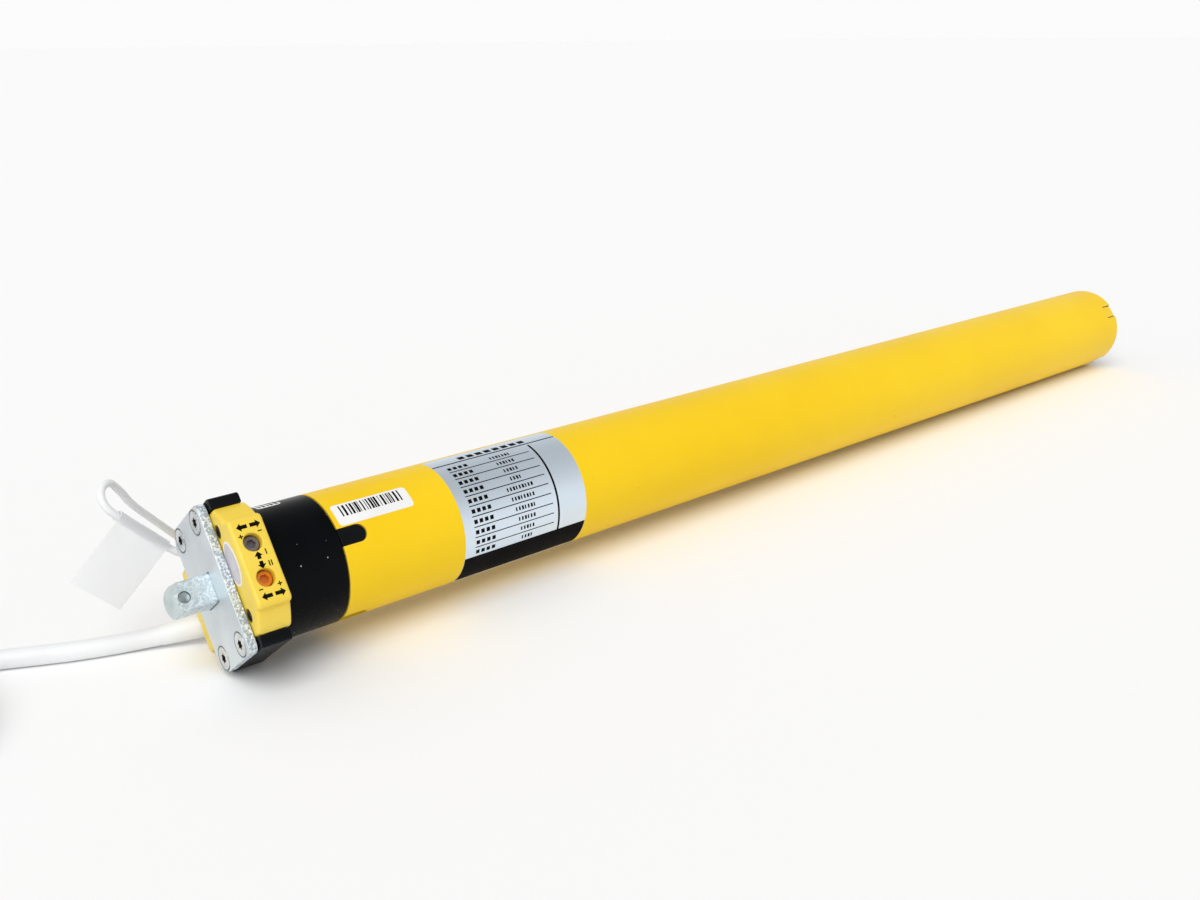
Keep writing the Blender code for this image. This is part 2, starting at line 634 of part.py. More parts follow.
def head_body():
    seat = COVER_SEAT_HEIGHT - SEAT
    notch = COVER_HALF_WIDTH + SEAT
    near, far = FLANGE_NEAR_CORNER, FLANGE_FAR_CORNER
    width, height = FLANGE_HALF_WIDTH, FLANGE_HALF_HEIGHT
    outline = [(notch, seat), (notch, height)]
    outline += arc((width - near, height - near), near, 90, 0)
    outline += arc((width - far, far - height), far, 0, -90)
    outline += [(notch, -height), (notch, -seat), (-notch, -seat), (-notch, -height)]
    outline += arc((far - width, far - height), far, -90, -180)
    outline += arc((near - width, height - near), near, 180, 90)
    outline += [(-notch, height), (-notch, seat)]
    head = extruded("head_body", [outline], COVER_FRONT, FLANGE_BACK, MOTOR, "black_plastic")

    land = RING_LAND_RADIUS - RING_BEARING_GAP
    land_front = RING_FRONT + RING_GEAR_LENGTH + RING_LIP + SEAT
    neck = turned(
        "head_neck",
        [
            (TUBE_FIT, SLEEVE_LENGTH),
            (TUBE_FIT, RING_BACK + SEAT),
            (land, RING_BACK + SEAT),
            (land, land_front),
            (NECK_RADIUS, land_front),
            (NECK_RADIUS, NECK_FRONT),
            (HEAD_BORE - TOOL_REACH, NECK_FRONT),
            (HEAD_BORE - TOOL_REACH, SLEEVE_LENGTH),
        ],
        MOTOR,
    )
    join(head, neck)
    for i in range(SLOT_COUNT):
        outline = slot_outline(SLOT_WIDTH - 2 * SEAT, 0, SLOT_LENGTH - SEAT)
        bottom, top = TUBE_FIT - TOOL_REACH, TUBE_RADIUS - KEY_RECESS
        join(head, extruded(f"head_key_{i}", [outline], bottom, top, MOTOR, turn=facing_out(i)))
    core_front, core_back = COVER_FRONT + COVER_WALL, FLANGE_BACK - TOOL_REACH
    core = boxed(
        "cover_core",
        (-CORE_HALF_WIDTH, -CORE_HEIGHT, core_front),
        (CORE_HALF_WIDTH, CORE_HEIGHT, core_back),
        MOTOR,
    )
    join(head, core)
    cut(head, rod("head_bore", HEAD_BORE, HEAD_FLOOR, SLEEVE_LENGTH + TOOL_REACH, MOTOR, steps=ROUND_STEPS))
    half = STUB_BASE_SIDE / 2 + SEAT
    pocket_back = PLATE_BACK + SEAT + STUB_BASE_THICKNESS + SEAT
    cut(head, boxed("stub_pocket", (-half, -half, PLATE_FRONT), (half, half, pocket_back), MOTOR))
    screw_end = PLATE_FRONT + PLATE_SCREW_LENGTH + SEAT
    for i, (x, y) in enumerate(plate_screw_places()):
        radius = PLATE_SCREW_RADIUS + SEAT
        cut(head, rod(f"head_screw_hole_{i}", radius, PLATE_FRONT, screw_end, MOTOR, at=(x, y, 0)))
    hole_end = COVER_FRONT + COVER_SCREW_SUNK + COVER_SCREW_LENGTH + SEAT
    for i, (x, y) in enumerate(cover_screw_places(1) + cover_screw_places(-1)):
        radius = COVER_SCREW_RADIUS + SEAT
        cut(head, rod(f"core_screw_hole_{i}", radius, PLATE_FRONT, hole_end, MOTOR, at=(x, y, 0)))
    for i, side in enumerate((1, -1)):
        hole = rod(
            f"adjust_shaft_hole_{i}",
            ADJUST_SHAFT_RADIUS + SEAT,
            UNIT_FLAT_HEIGHT,
            LIMIT_FACE_HEIGHT,
            MOTOR,
            at=adjuster_place(side),
            turn=(-math.pi / 2, 0, 0),
        )
        cut(head, hole)
    passage = rod(
        "cord_passage",
        PASSAGE_RADIUS,
        -CABLE_FACE_HEIGHT,
        -UNIT_FLAT_HEIGHT,
        MOTOR,
        at=(OUTLET_ACROSS, 0, COVER_FRONT + ADJUST_FROM_FRONT),
        turn=(-math.pi / 2, 0, 0),
    )
    cut(head, passage)
    reach = LIMIT_MODULE * (LIMIT_GEAR_TEETH / 2 + ADDENDUM) + 2 * SEAT
    window = boxed(
        "limit_gear_window",
        (-TUBE_RADIUS, -reach, LIMIT_GEAR_FRONT - SEAT),
        (-LIMIT_GEAR_DISTANCE, reach, LIMIT_GEAR_FRONT + LIMIT_GEAR_WIDTH + SEAT),
        MOTOR,
    )
    cut(head, window)
    for step in head.modifiers:
        step.solver = "MANIFOLD"  # the body stays closed through this many tools only with this solver


def plate_screw_places():
    return [(sx * PLATE_SCREW_X, sy * PLATE_SCREW_Y) for sx in (1, -1) for sy in (1, -1)]


def cover_screw_places(side):
    return [(sx * COVER_SCREW_X, side * COVER_SCREW_Y) for sx in (1, -1)]


def adjuster_place(side):
    return (side * ADJUST_SPACING / 2, 0, COVER_FRONT + ADJUST_FROM_FRONT)


def mounting_plate():
    outline = rounded_rectangle(PLATE_HALF_WIDTH, PLATE_HALF_HEIGHT, PLATE_NEAR_CORNER, PLATE_FAR_CORNER)
    half = STUB_SIDE / 2 + SEAT
    square = [(half, half), (-half, half), (-half, -half), (half, -half)]
    plate = extruded("mounting_plate", [outline, square], PLATE_FRONT, PLATE_BACK, MOTOR, "zinc")
    for i, (x, y) in enumerate(plate_screw_places()):
        head, shank = PLATE_SCREW_HEAD_RADIUS + SEAT, PLATE_SCREW_RADIUS + SEAT
        sink = turned(
            f"plate_hole_{i}",
            [
                (0, PLATE_BACK + TOOL_REACH),
                (shank, PLATE_BACK + TOOL_REACH),
                (shank, PLATE_FRONT + PLATE_SCREW_HEAD_HEIGHT),
                (head, PLATE_FRONT),
                (head, PLATE_FRONT - TOOL_REACH),
                (0, PLATE_FRONT - TOOL_REACH),
            ],
            MOTOR,
            steps=SMALL_STEPS,
            at=(x, y, 0),
        )
        cut(plate, sink)


def plate_screws():
    tip = PLATE_FRONT + PLATE_SCREW_LENGTH
    lobes = []
    for i in range(12):
        radius = PLATE_SCREW_SOCKET_RADIUS * (1 if i % 2 else 0.72)
        angle = math.pi * i / 6
        lobes.append((radius * math.cos(angle), radius * math.sin(angle)))
    for i, (x, y) in enumerate(plate_screw_places()):
        screw = turned(
            f"plate_screw_{i + 1}",
            [
                (0, tip),
                (PLATE_SCREW_RADIUS, tip),
                (PLATE_SCREW_RADIUS, PLATE_FRONT + PLATE_SCREW_HEAD_HEIGHT),
                (PLATE_SCREW_HEAD_RADIUS, PLATE_FRONT),
                (0, PLATE_FRONT),
            ],
            MOTOR,
            "zinc",
            steps=SMALL_STEPS,
            at=(x, y, 0),
        )
        socket = extruded(
            f"screw_socket_{i}",
            [lobes],
            PLATE_FRONT - TOOL_REACH,
            PLATE_FRONT + PLATE_SCREW_SOCKET_DEPTH,
            MOTOR,
            at=(x, y, 0),
        )
        cut(screw, socket)


def square_stub():
    """A square bar with chamfered edges and nose, and a base that the plate traps against the head."""
    half = STUB_SIDE / 2
    base_front = PLATE_BACK + SEAT
    base_back = base_front + STUB_BASE_THICKNESS
    bm = bmesh.new()
    bmesh.ops.create_cube(bm, size=1.0)
    bmesh.ops.scale(bm, verts=bm.verts, vec=(STUB_SIDE, STUB_SIDE, base_back - SEAT - STUB_TIP))
    bmesh.ops.translate(bm, verts=bm.verts, vec=(0, 0, (base_back - SEAT + STUB_TIP) / 2))
    weights = bm.edges.layers.float.new("bevel_weight_edge")
    for side in bm.edges:
        heights = [corner.co.z for corner in side.verts]
        if max(heights) < PLATE_FRONT:
            side[weights] = 1.0
        elif min(heights) < PLATE_FRONT:
            side[weights] = STUB_EDGE / STUB_NOSE
    stub = from_bmesh("square_stub", bm, MOTOR, "zinc")
    chamfer = stub.modifiers.new("chamfers", "BEVEL")
    chamfer.width = STUB_NOSE
    chamfer.segments = 2
    chamfer.limit_method = "WEIGHT"
    base = STUB_BASE_SIDE / 2
    join(stub, boxed("stub_base", (-base, -base, base_front), (base, base, base_back), MOTOR))
    ball = (DIMPLE_RADIUS**2 + DIMPLE_DEPTH**2) / (2 * DIMPLE_DEPTH)
    bm = bmesh.new()
    bmesh.ops.create_uvsphere(bm, u_segments=SMALL_STEPS, v_segments=SMALL_STEPS, radius=ball)
    place = (DIMPLE_ACROSS, half + ball - DIMPLE_DEPTH, STUB_TIP + DIMPLE_FROM_TIP)
    cut(stub, from_bmesh("stub_dimple", bm, MOTOR, None, at=place, turn=(math.pi / 2, 0, 0)))


def cover_outline(face):
    """A cover's section: its seat, the round shoulders, the steps and the flat face."""
    block, corner = BLOCK_HALF_WIDTH, BLOCK_CORNER
    low = math.degrees(math.acos(COVER_HALF_WIDTH / COVER_RADIUS))
    high = math.degrees(math.acos(block / COVER_RADIUS))
    right = [(COVER_HALF_WIDTH, COVER_SEAT_HEIGHT)] + arc((0, 0), COVER_RADIUS, low, high)
    right += arc((block - corner, face - corner), corner, 0, 90)
    return right + [(-x, y) for x, y in reversed(right)]


def head_cover(name, face, side):
    """A shell over the core of the head body, on the side towards +Y or, turned over, towards -Y."""
    turn = (0, 0, 0 if side > 0 else math.pi)
    outline = cover_outline(face)
    cover = extruded(
        name, [outline], COVER_FRONT, COVER_BACK, MOTOR, "yellow_plastic", turn=turn, edge=COVER_EDGE
    )
    pocket = boxed(
        f"{name}_pocket",
        (-CORE_HALF_WIDTH - SEAT, 0, COVER_FRONT + COVER_WALL - SEAT),
        (CORE_HALF_WIDTH + SEAT, CORE_HEIGHT + SEAT, FLANGE_BACK - TOOL_REACH + SEAT),
        MOTOR,
        turn=turn,
    )
    cut(cover, pocket)
    neck = rod(
        f"{name}_neck_room",
        NECK_RADIUS + SEAT,
        NECK_FRONT - SEAT,
        COVER_BACK + TOOL_REACH,
        MOTOR,
        steps=ROUND_STEPS,
    )
    cut(cover, neck)
    bottom = COVER_FRONT + COVER_SCREW_SUNK + COVER_SCREW_HEAD_HEIGHT + SEAT
    for i, (x, y) in enumerate(cover_screw_places(side)):
        head, shank = COVER_SCREW_HEAD_RADIUS + SEAT, COVER_SCREW_RADIUS + SEAT
        hole = turned(
            f"{name}_screw_hole_{i}",
            [
                (0, COVER_FRONT + COVER_WALL + TOOL_REACH),
                (shank, COVER_FRONT + COVER_WALL + TOOL_REACH),
                (shank, bottom),
                (head, bottom),
                (head, COVER_FRONT - TOOL_REACH),
                (0, COVER_FRONT - TOOL_REACH),
            ],
            MOTOR,
            steps=SMALL_STEPS,
            at=(x, y, 0),
        )
        cut(cover, hole)
    return cover


def cover_screws(name, side):
    top = COVER_FRONT + COVER_SCREW_SUNK
    under = top + COVER_SCREW_HEAD_HEIGHT
    for i, (x, y) in enumerate(cover_screw_places(side)):
        turned(
            f"{name}_{i + 1}",
            [
                (0, top + COVER_SCREW_LENGTH),
                (COVER_SCREW_RADIUS, top + COVER_SCREW_LENGTH),
                (COVER_SCREW_RADIUS, under),
                (COVER_SCREW_HEAD_RADIUS, under),
                (COVER_SCREW_HEAD_RADIUS, top),
                (0, top),
            ],
            MOTOR,
            "black_steel",
            steps=SMALL_STEPS,
            at=(x, y, 0),
        )


def limit_cover():
    cover = head_cover("limit_cover", LIMIT_FACE_HEIGHT, 1)
    for i, side in enumerate((1, -1)):
        hole = rod(
            f"adjust_hole_{i}",
            ADJUST_HOLE_RADIUS,
            COVER_SEAT_HEIGHT,
            LIMIT_FACE_HEIGHT + TOOL_REACH,
            MOTOR,
            steps=2 * SMALL_STEPS,
            at=adjuster_place(side),
            turn=(-math.pi / 2, 0, 0),
        )
        cut(cover, hole)


def adjusting_screw(name, side, finish):
    top = LIMIT_FACE_HEIGHT - ADJUST_SUNK
    under = CORE_HEIGHT + SEAT
    end = UNIT_FLAT_HEIGHT + SEAT
    screw = turned(
        name,
        [
            (0, top),
            (ADJUST_HEAD_RADIUS, top),
            (ADJUST_HEAD_RADIUS, under),
            (ADJUST_SHAFT_RADIUS, under),
            (ADJUST_SHAFT_RADIUS, end),
            (0, end),
        ],
        MOTOR,
        finish,
        steps=SMALL_STEPS,
        at=adjuster_place(side),
        turn=(-math.pi / 2, 0, 0),
    )
    socket = extruded(
        f"{name}_socket",
        [circle(ADJUST_SOCKET_RADIUS, 6)],
        top - ADJUST_SOCKET_DEPTH,
        top + TOOL_REACH,
        MOTOR,
        at=adjuster_place(side),
        turn=(-math.pi / 2, 0, 0),
    )
    cut(screw, socket)


def outlet_matrix():
    """A frame on the cable cover's face whose Z points the way the cord leaves."""
    sideways = math.sin(OUTLET_TILT) * math.sin(OUTLET_SWING)
    outwards = -math.sin(OUTLET_TILT) * math.cos(OUTLET_SWING)
    direction = Vector((sideways, outwards, -math.cos(OUTLET_TILT)))
    place = (OUTLET_ACROSS, -CABLE_FACE_HEIGHT, COVER_FRONT + OUTLET_FROM_FRONT)
    return Matrix.Translation(place) @ direction.to_track_quat("Z", "Y").to_matrix().to_4x4()


def cable_cover_and_gland():
    cover = head_cover("cable_cover", CABLE_FACE_HEIGHT, -1)
    outlet = empty("cord_outlet", MOTOR)
    outlet.matrix_local = outlet_matrix()
    join(cover, rod("outlet_collar", COLLAR_RADIUS, -COLLAR_IN, COLLAR_OUT, outlet, steps=2 * SMALL_STEPS))
    bottom = -GLAND_SEAT - SEAT
    cut(cover, rod("outlet_bore", GLAND_RADIUS + SEAT, bottom, GLAND_REACH, outlet, steps=2 * SMALL_STEPS))
    antenna_hole = rod(
        "antenna_hole",
        ANTENNA_RADIUS + SEAT,
        COVER_FRONT - TOOL_REACH,
        COVER_FRONT + ANTENNA_SOCKET + SEAT,
        MOTOR,
        at=(ANTENNA_X, ANTENNA_Y, 0),
    )
    cut(cover, antenna_hole)
    turned(
        "cord_gland",
        [
            (0, GLAND_REACH),
            (GLAND_TIP_RADIUS, GLAND_REACH),
            (GLAND_RADIUS, COLLAR_OUT + SEAT),
            (GLAND_RADIUS, -GLAND_SEAT),
            (0, -GLAND_SEAT),
        ],
        outlet,
        "white_sheath",
        steps=SMALL_STEPS,
    )


def limit_switch_unit():
    front = HEAD_FLOOR + SEAT
    back = front + UNIT_LENGTH
    unit = rod("limit_switch_unit", HEAD_BORE - SEAT, front, back, MOTOR, "grey_plastic", steps=ROUND_STEPS)
    top = boxed(
        "unit_flat",
        (-TUBE_RADIUS, UNIT_FLAT_HEIGHT, front - TOOL_REACH),
        (TUBE_RADIUS, TUBE_RADIUS, back + TOOL_REACH),
        MOTOR,
    )
    cut(unit, top)
    gear_back = LIMIT_GEAR_FRONT + LIMIT_GEAR_WIDTH
    reach = LIMIT_MODULE * (LIMIT_GEAR_TEETH / 2 + ADDENDUM) + 2 * SEAT
    pocket = rod(
        "unit_gear_pocket",
        reach,
        LIMIT_GEAR_FRONT - SEAT,
        gear_back + SEAT,
        MOTOR,
        steps=2 * SMALL_STEPS,
        at=at_limit_gear(),
    )
    cut(unit, pocket)
    shaft_end = LIMIT_GEAR_FRONT + LIMIT_SHAFT_LENGTH + SEAT
    bore = rod(
        "unit_shaft_bore", LIMIT_SHAFT_RADIUS + SEAT, LIMIT_GEAR_FRONT, shaft_end, MOTOR, at=at_limit_gear()
    )
    cut(unit, bore)


def limit_input_gear():
    gear = extruded(
        "limit_input_gear",
        [gear_outline(LIMIT_GEAR_TEETH, LIMIT_MODULE)],
        LIMIT_GEAR_FRONT,
        LIMIT_GEAR_FRONT + LIMIT_GEAR_WIDTH,
        MOTOR,
        "white_plastic",
        at=at_limit_gear(),
    )
    shaft = rod(
        "limit_gear_shaft",
        LIMIT_SHAFT_RADIUS,
        LIMIT_GEAR_FRONT + SEAT,
        LIMIT_GEAR_FRONT + LIMIT_SHAFT_LENGTH,
        MOTOR,
        at=at_limit_gear(),
    )
    join(gear, shaft)


# Inside the tube


def receiver_board():
    """A board across the tube, with the relay, the supply and the terminals standing on it."""
    under = BOARD_DROP + BOARD_THICKNESS
    half = math.sqrt(TUBE_FIT**2 - under**2)
    end = BOARD_START + BOARD_LENGTH
    low, high = (-half, -under, BOARD_START), (half, -BOARD_DROP, end)
    board = boxed("receiver_board", low, high, MOTOR, "board_green")
    room = BOARD_LENGTH / 4
    for i, size in enumerate((RELAY_SIZE, SUPPLY_SIZE, TERMINAL_SIZE)):
        width, height, length = size
        middle = BOARD_START + (i + 1) * room
        block = boxed(
            f"board_block_{i}",
            (-width / 2, -BOARD_DROP - BOARD_THICKNESS / 2, middle - length / 2),
            (width / 2, height - BOARD_DROP, middle + length / 2),
            MOTOR,
        )
        join(board, block)


def run_capacitor():
    end = CAPACITOR_END
    start = end - CAPACITOR_LENGTH
    turned(
        "run_capacitor",
        [
            (0, end),
            (CAPACITOR_RADIUS - CAPACITOR_EDGE, end),
            (CAPACITOR_RADIUS, end - CAPACITOR_EDGE),
            (CAPACITOR_RADIUS, start + CAPACITOR_EDGE),
            (CAPACITOR_RADIUS - CAPACITOR_EDGE, start),
            (0, start),
        ],
        MOTOR,
        "white_plastic",
        steps=2 * SMALL_STEPS,
    )


def motor_bell(name, open_end, direction):
    """An end bell, from its open end at the stator to its web; direction points away from the stator."""
    inner = TUBE_FIT - BELL_WALL
    seat_radius = BEARING_RADIUS + SEAT
    hole = SHAFT_RADIUS + SHAFT_HOLE_GAP
    step = open_end + direction * (WINDING_LENGTH + SEAT)
    web = step + direction * (BEARING_WIDTH + SEAT)
    back = web + direction * BELL_WEB
    section = [
        (TUBE_FIT, open_end),
        (TUBE_FIT, back),
        (hole, back),
        (hole, web),
        (seat_radius, web),
        (seat_radius, step),
        (inner, step),
        (inner, open_end),
    ]
    if direction > 0:
        section.reverse()
    return turned(name, section, MOTOR, "cast_alloy", steps=INNER_STEPS)


def motor_front_bell():
    """The bell at the stator's head end, with the socket that holds the capacitor."""
    bell = motor_bell("motor_front_bell", FRONT_BELL_END, -1)
    front = FRONT_BELL_START - SOCKET_DEPTH
    inside = CAPACITOR_RADIUS + SEAT
    socket = turned(
        "capacitor_socket",
        [
            (TUBE_FIT, FRONT_BELL_START + TOOL_REACH),
            (TUBE_FIT, front),
            (inside, front),
            (inside, FRONT_BELL_START + TOOL_REACH),
        ],
        MOTOR,
        steps=INNER_STEPS,
    )
    join(bell, socket)


def stator_core():
    stator = turned(
        "stator_core",
        [
            (TUBE_FIT, STATOR_END),
            (TUBE_FIT, STATOR_START),
            (STATOR_BORE, STATOR_START),
            (STATOR_BORE, STATOR_END),
        ],
        MOTOR,
        "laminate",
        steps=INNER_STEPS,
    )
    for i in range(STATOR_SLOTS):
        slot = boxed(
            f"stator_slot_{i}",
            (STATOR_BORE - TOOL_REACH, -STATOR_SLOT_WIDTH / 2, STATOR_START - TOOL_REACH),
            (STATOR_BORE + STATOR_SLOT_DEPTH, STATOR_SLOT_WIDTH / 2, STATOR_END + TOOL_REACH),
            MOTOR,
            turn=(0, 0, 2 * math.pi * i / STATOR_SLOTS),
        )
        cut(stator, slot)


def end_winding(name, start, end):
    outer = TUBE_FIT - BELL_WALL - SEAT
    turned(
        name,
        [
            (outer - WINDING_ROUND, end),
            (outer, end - WINDING_ROUND),
            (outer, start + WINDING_ROUND),
            (outer - WINDING_ROUND, start),
            (WINDING_INNER, start),
            (WINDING_INNER, end),
        ],
        MOTOR,
        "copper",
        steps=INNER_STEPS,
    )


def rotor():
    """The rotor core on its shaft, which carries the first sun gear at its far end."""
    core = turned(
        "rotor_core",
        [
            (STATOR_BORE - AIR_GAP, STATOR_END),
            (STATOR_BORE - AIR_GAP, STATOR_START),
            (SHAFT_RADIUS + SEAT, STATOR_START),
            (SHAFT_RADIUS + SEAT, STATOR_END),
        ],
        MOTOR,
        "laminate",
        steps=INNER_STEPS,
    )
    front = FRONT_BELL_START + BELL_WEB
    sun_start = GEARBOX_START + STAGE_LEAD / 2
    sun_end = GEARBOX_START + STAGE_LEAD + PLANET_WIDTH
    shaft = rod("rotor_shaft", SHAFT_RADIUS, front, sun_start + TOOL_REACH, MOTOR, "steel")
    join(shaft, extruded("sun_gear_1", [gear_outline(SUN_TEETH, GEAR_MODULE)], sun_start, sun_end, MOTOR))
    return core


def bearing(name, start):
    """A ball bearing, drawn as one closed ring."""
    end = start + BEARING_WIDTH
    inner = SHAFT_RADIUS + SEAT
    section = [(BEARING_RADIUS, end), (BEARING_RADIUS, start), (inner, start), (inner, end)]
    turned(name, section, MOTOR, "steel", steps=INNER_STEPS)


def brake():
    """A sprung brake: the armature presses on the disc until it is pulled back against its spring."""
    disc_start = BRAKE_START + BRAKE_HUB_LENGTH + SEAT
    disc_end = disc_start + BRAKE_DISC_THICKNESS
    turned(
        "brake_disc",
        [
            (BRAKE_BORE - RUN_GAP, disc_end),
            (BRAKE_BORE - RUN_GAP, disc_start),
            (BRAKE_HUB_RADIUS, disc_start),
            (BRAKE_HUB_RADIUS, disc_start - BRAKE_HUB_LENGTH),
            (SHAFT_RADIUS + SEAT, disc_start - BRAKE_HUB_LENGTH),
            (SHAFT_RADIUS + SEAT, disc_end),
        ],
        MOTOR,
        "friction",
        steps=INNER_STEPS,
    )
    plate_start = disc_end + SEAT
    plate_end = plate_start + ARMATURE_THICKNESS
    turned(
        "brake_armature",
        [
            (BRAKE_BORE - SEAT, plate_end),
            (BRAKE_BORE - SEAT, plate_start),
            (ARMATURE_BORE, plate_start),
            (ARMATURE_BORE, plate_end),
        ],
        MOTOR,
        "steel",
        steps=INNER_STEPS,
    )
    web = BRAKE_END - BELL_WEB
    turned(
        "brake_housing",
        [
            (TUBE_FIT, BRAKE_END),
            (TUBE_FIT, BRAKE_START),
            (BRAKE_BORE, BRAKE_START),
            (BRAKE_BORE, web),
            (SHAFT_RADIUS + SHAFT_HOLE_GAP, web),
            (SHAFT_RADIUS + SHAFT_HOLE_GAP, BRAKE_END),
        ],
        MOTOR,
        "cast_alloy",
        steps=INNER_STEPS,
    )
    start = plate_end + BRAKE_TRAVEL + SEAT + SPRING_WIRE
    end = web - SEAT - SPRING_WIRE
    count = SPRING_TURNS * SMALL_STEPS
    points = []
    for i in range(count + 1):
        angle = 2 * math.pi * i / SMALL_STEPS
        height = start + (end - start) * i / count
        points.append((SPRING_RADIUS * math.cos(angle), SPRING_RADIUS * math.sin(angle), height))
    wire("brake_spring", points, SPRING_WIRE, MOTOR, "steel", 0)


def ring_gear():
    teeth = gear_outline(RING_TEETH, GEAR_MODULE, inside=True, half_pitch=True)
    outer = circle(TUBE_FIT, INNER_STEPS)
    extruded("ring_gear", [outer, teeth], GEARBOX_START, GEARBOX_END, MOTOR, "steel")


def planet_places():
    places = []
    for i in range(PLANETS):
        angle = 2 * math.pi * i / PLANETS
        places.append((PLANET_DISTANCE * math.cos(angle), PLANET_DISTANCE * math.sin(angle)))
    return places


def stage_start(stage):
    """Where the planets of a stage begin, counted from zero."""
    return GEARBOX_START + STAGE_LEAD + stage * STAGE_LENGTH


def planets():
    outline = gear_outline(PLANET_TEETH, GEAR_MODULE)
    bore = circle(PIN_RADIUS + SEAT, SMALL_STEPS // 2)
    for stage in range(STAGES):
        start = stage_start(stage)
        for i, (x, y) in enumerate(planet_places()):
            extruded(
                f"planet_{stage + 1}_{i + 1}",
                [outline, bore],
                start,
                start + PLANET_WIDTH,
                MOTOR,
                "steel",
                at=(x, y, 0),
            )


def carriers():
    """Each carrier has the pins of its planets and the next sun gear; the last has the output shaft."""
    for stage in range(STAGES):
        plate_start = stage_start(stage) + PLANET_WIDTH + SEAT
        plate_end = plate_start + CARRIER_THICKNESS
        last = stage == STAGES - 1
        name = "output_carrier" if last else f"carrier_{stage + 1}"
        carrier = rod(name, CARRIER_RADIUS, plate_start, plate_end, MOTOR, "steel", steps=INNER_STEPS)
        for i, (x, y) in enumerate(planet_places()):
            low, high = stage_start(stage), plate_start + TOOL_REACH
            pin = rod(f"{name}_pin_{i}", PIN_RADIUS, low, high, MOTOR, steps=SMALL_STEPS // 2, at=(x, y, 0))
            join(carrier, pin)
        if last:
            join(carrier, output_shaft(plate_end))
        else:
            sun_end = stage_start(stage + 1) + PLANET_WIDTH
            sun = extruded(
                f"sun_gear_{stage + 2}",
                [gear_outline(SUN_TEETH, GEAR_MODULE)],
                plate_end - TOOL_REACH,
                sun_end,
                MOTOR,
            )
            join(carrier, sun)


def output_shaft(plate_end):
    """The round shaft out of the last carrier, with two flats and a groove for a ring at its end."""
    tip = TUBE_LENGTH + OUTPUT_LENGTH
    groove_end = tip - OUTPUT_GROOVE_FROM_END
    groove_start = groove_end - OUTPUT_GROOVE_WIDTH
    groove = OUTPUT_RADIUS - OUTPUT_GROOVE_DEPTH
    shaft = turned(
        "output_shaft_bar",
        [
            (0, tip),
            (OUTPUT_RADIUS, tip),
            (OUTPUT_RADIUS, groove_end),
            (groove, groove_end),
            (groove, groove_start),
            (OUTPUT_RADIUS, groove_start),
            (OUTPUT_RADIUS, plate_end - TOOL_REACH),
            (0, plate_end - TOOL_REACH),
        ],
        MOTOR,
        steps=2 * SMALL_STEPS,
    )
    for side in (1, -1):
        flat = boxed(
            f"output_flat_{side}",
            (-OUTPUT_RADIUS, OUTPUT_FLAT, TUBE_LENGTH),
            (OUTPUT_RADIUS, OUTPUT_FLAT + OUTPUT_RADIUS, tip + TOOL_REACH),
            MOTOR,
            turn=(0, 0, 0 if side > 0 else math.pi),
        )
        cut(shaft, flat)
    return shaft


def end_cap():
    """The gearbox's end cap, narrower where the tube's tabs are pressed in, with its output bush."""
    end = TUBE_LENGTH - CAP_INSET
    tabs = TUBE_LENGTH - TAB_LENGTH - SEAT
    seat = BUSH_RADIUS + SEAT
    shelf = CAP_START + BELL_WEB
    turned(
        "end_cap",
        [
            (TUBE_FIT - CAP_TAB_GAP, end),
            (TUBE_FIT - CAP_TAB_GAP, tabs),
            (TUBE_FIT, tabs),
            (TUBE_FIT, CAP_START),
            (OUTPUT_RADIUS + SHAFT_HOLE_GAP, CAP_START),
            (OUTPUT_RADIUS + SHAFT_HOLE_GAP, shelf),
            (seat, shelf),
            (seat, end),
        ],
        MOTOR,
        "cast_alloy",
        steps=2 * SMALL_STEPS,
    )
    turned(
        "output_bush",
        [
            (BUSH_RADIUS, end),
            (BUSH_RADIUS, shelf + SEAT),
            (OUTPUT_RADIUS + SEAT, shelf + SEAT),
            (OUTPUT_RADIUS + SEAT, end),
        ],
        MOTOR,
        "brass",
        steps=2 * SMALL_STEPS,
    )


# Place on the floor


def centre_on_floor():
    """Move everything so that the motor's box, without its cords, stands centred on the origin."""
    bpy.context.view_layer.update()
    shapes = bpy.context.evaluated_depsgraph_get()
    corners = []
    for piece in PARTS.objects:
        if piece.type == "MESH" and piece.name != "cord_gland":
            shape = piece.evaluated_get(shapes)
            corners += [shape.matrix_world @ vertex.co for vertex in shape.data.vertices]
    low = [min(corner[i] for corner in corners) for i in range(3)]
    high = [max(corner[i] for corner in corners) for i in range(3)]
    FLOOR.location = (-(low[0] + high[0]) / 2, -(low[1] + high[1]) / 2, 0)
    print("lowest point before any shift, mm:", round(low[2] / MM, 4))
    print("size, mm:", [round((b - a) / MM, 2) for a, b in zip(low, high)])


# Cords


def coil_base():
    """The height of the lower turns' middle: the coil lies on its tie, and the tie on the floor."""
    return FLOOR_GAP + TIE_THICKNESS + SEAT + CORD_RADIUS


def coil_place(turns):
    """The cord's middle after so many turns: inwards below, up a layer in half a turn, outwards above."""
    inner = COIL_RADIUS - CORD_PITCH * COIL_TURNS
    climb = min(max((turns - COIL_TURNS) / 0.5, 0), 1)
    if turns < COIL_TURNS:
        radius = COIL_RADIUS - CORD_PITCH * turns
    elif turns < COIL_TURNS + 0.5:
        radius = inner - 0.5 * CORD_PITCH * climb * (1 - climb)
    else:
        radius = inner + CORD_PITCH * (turns - COIL_TURNS - 0.5)
    height = coil_base() + CORD_PITCH * climb**2 * (3 - 2 * climb)
    angle = COIL_START + 2 * math.pi * turns
    return Vector(
        (COIL_CENTRE[0] + radius * math.cos(angle), COIL_CENTRE[1] + radius * math.sin(angle), height)
    )


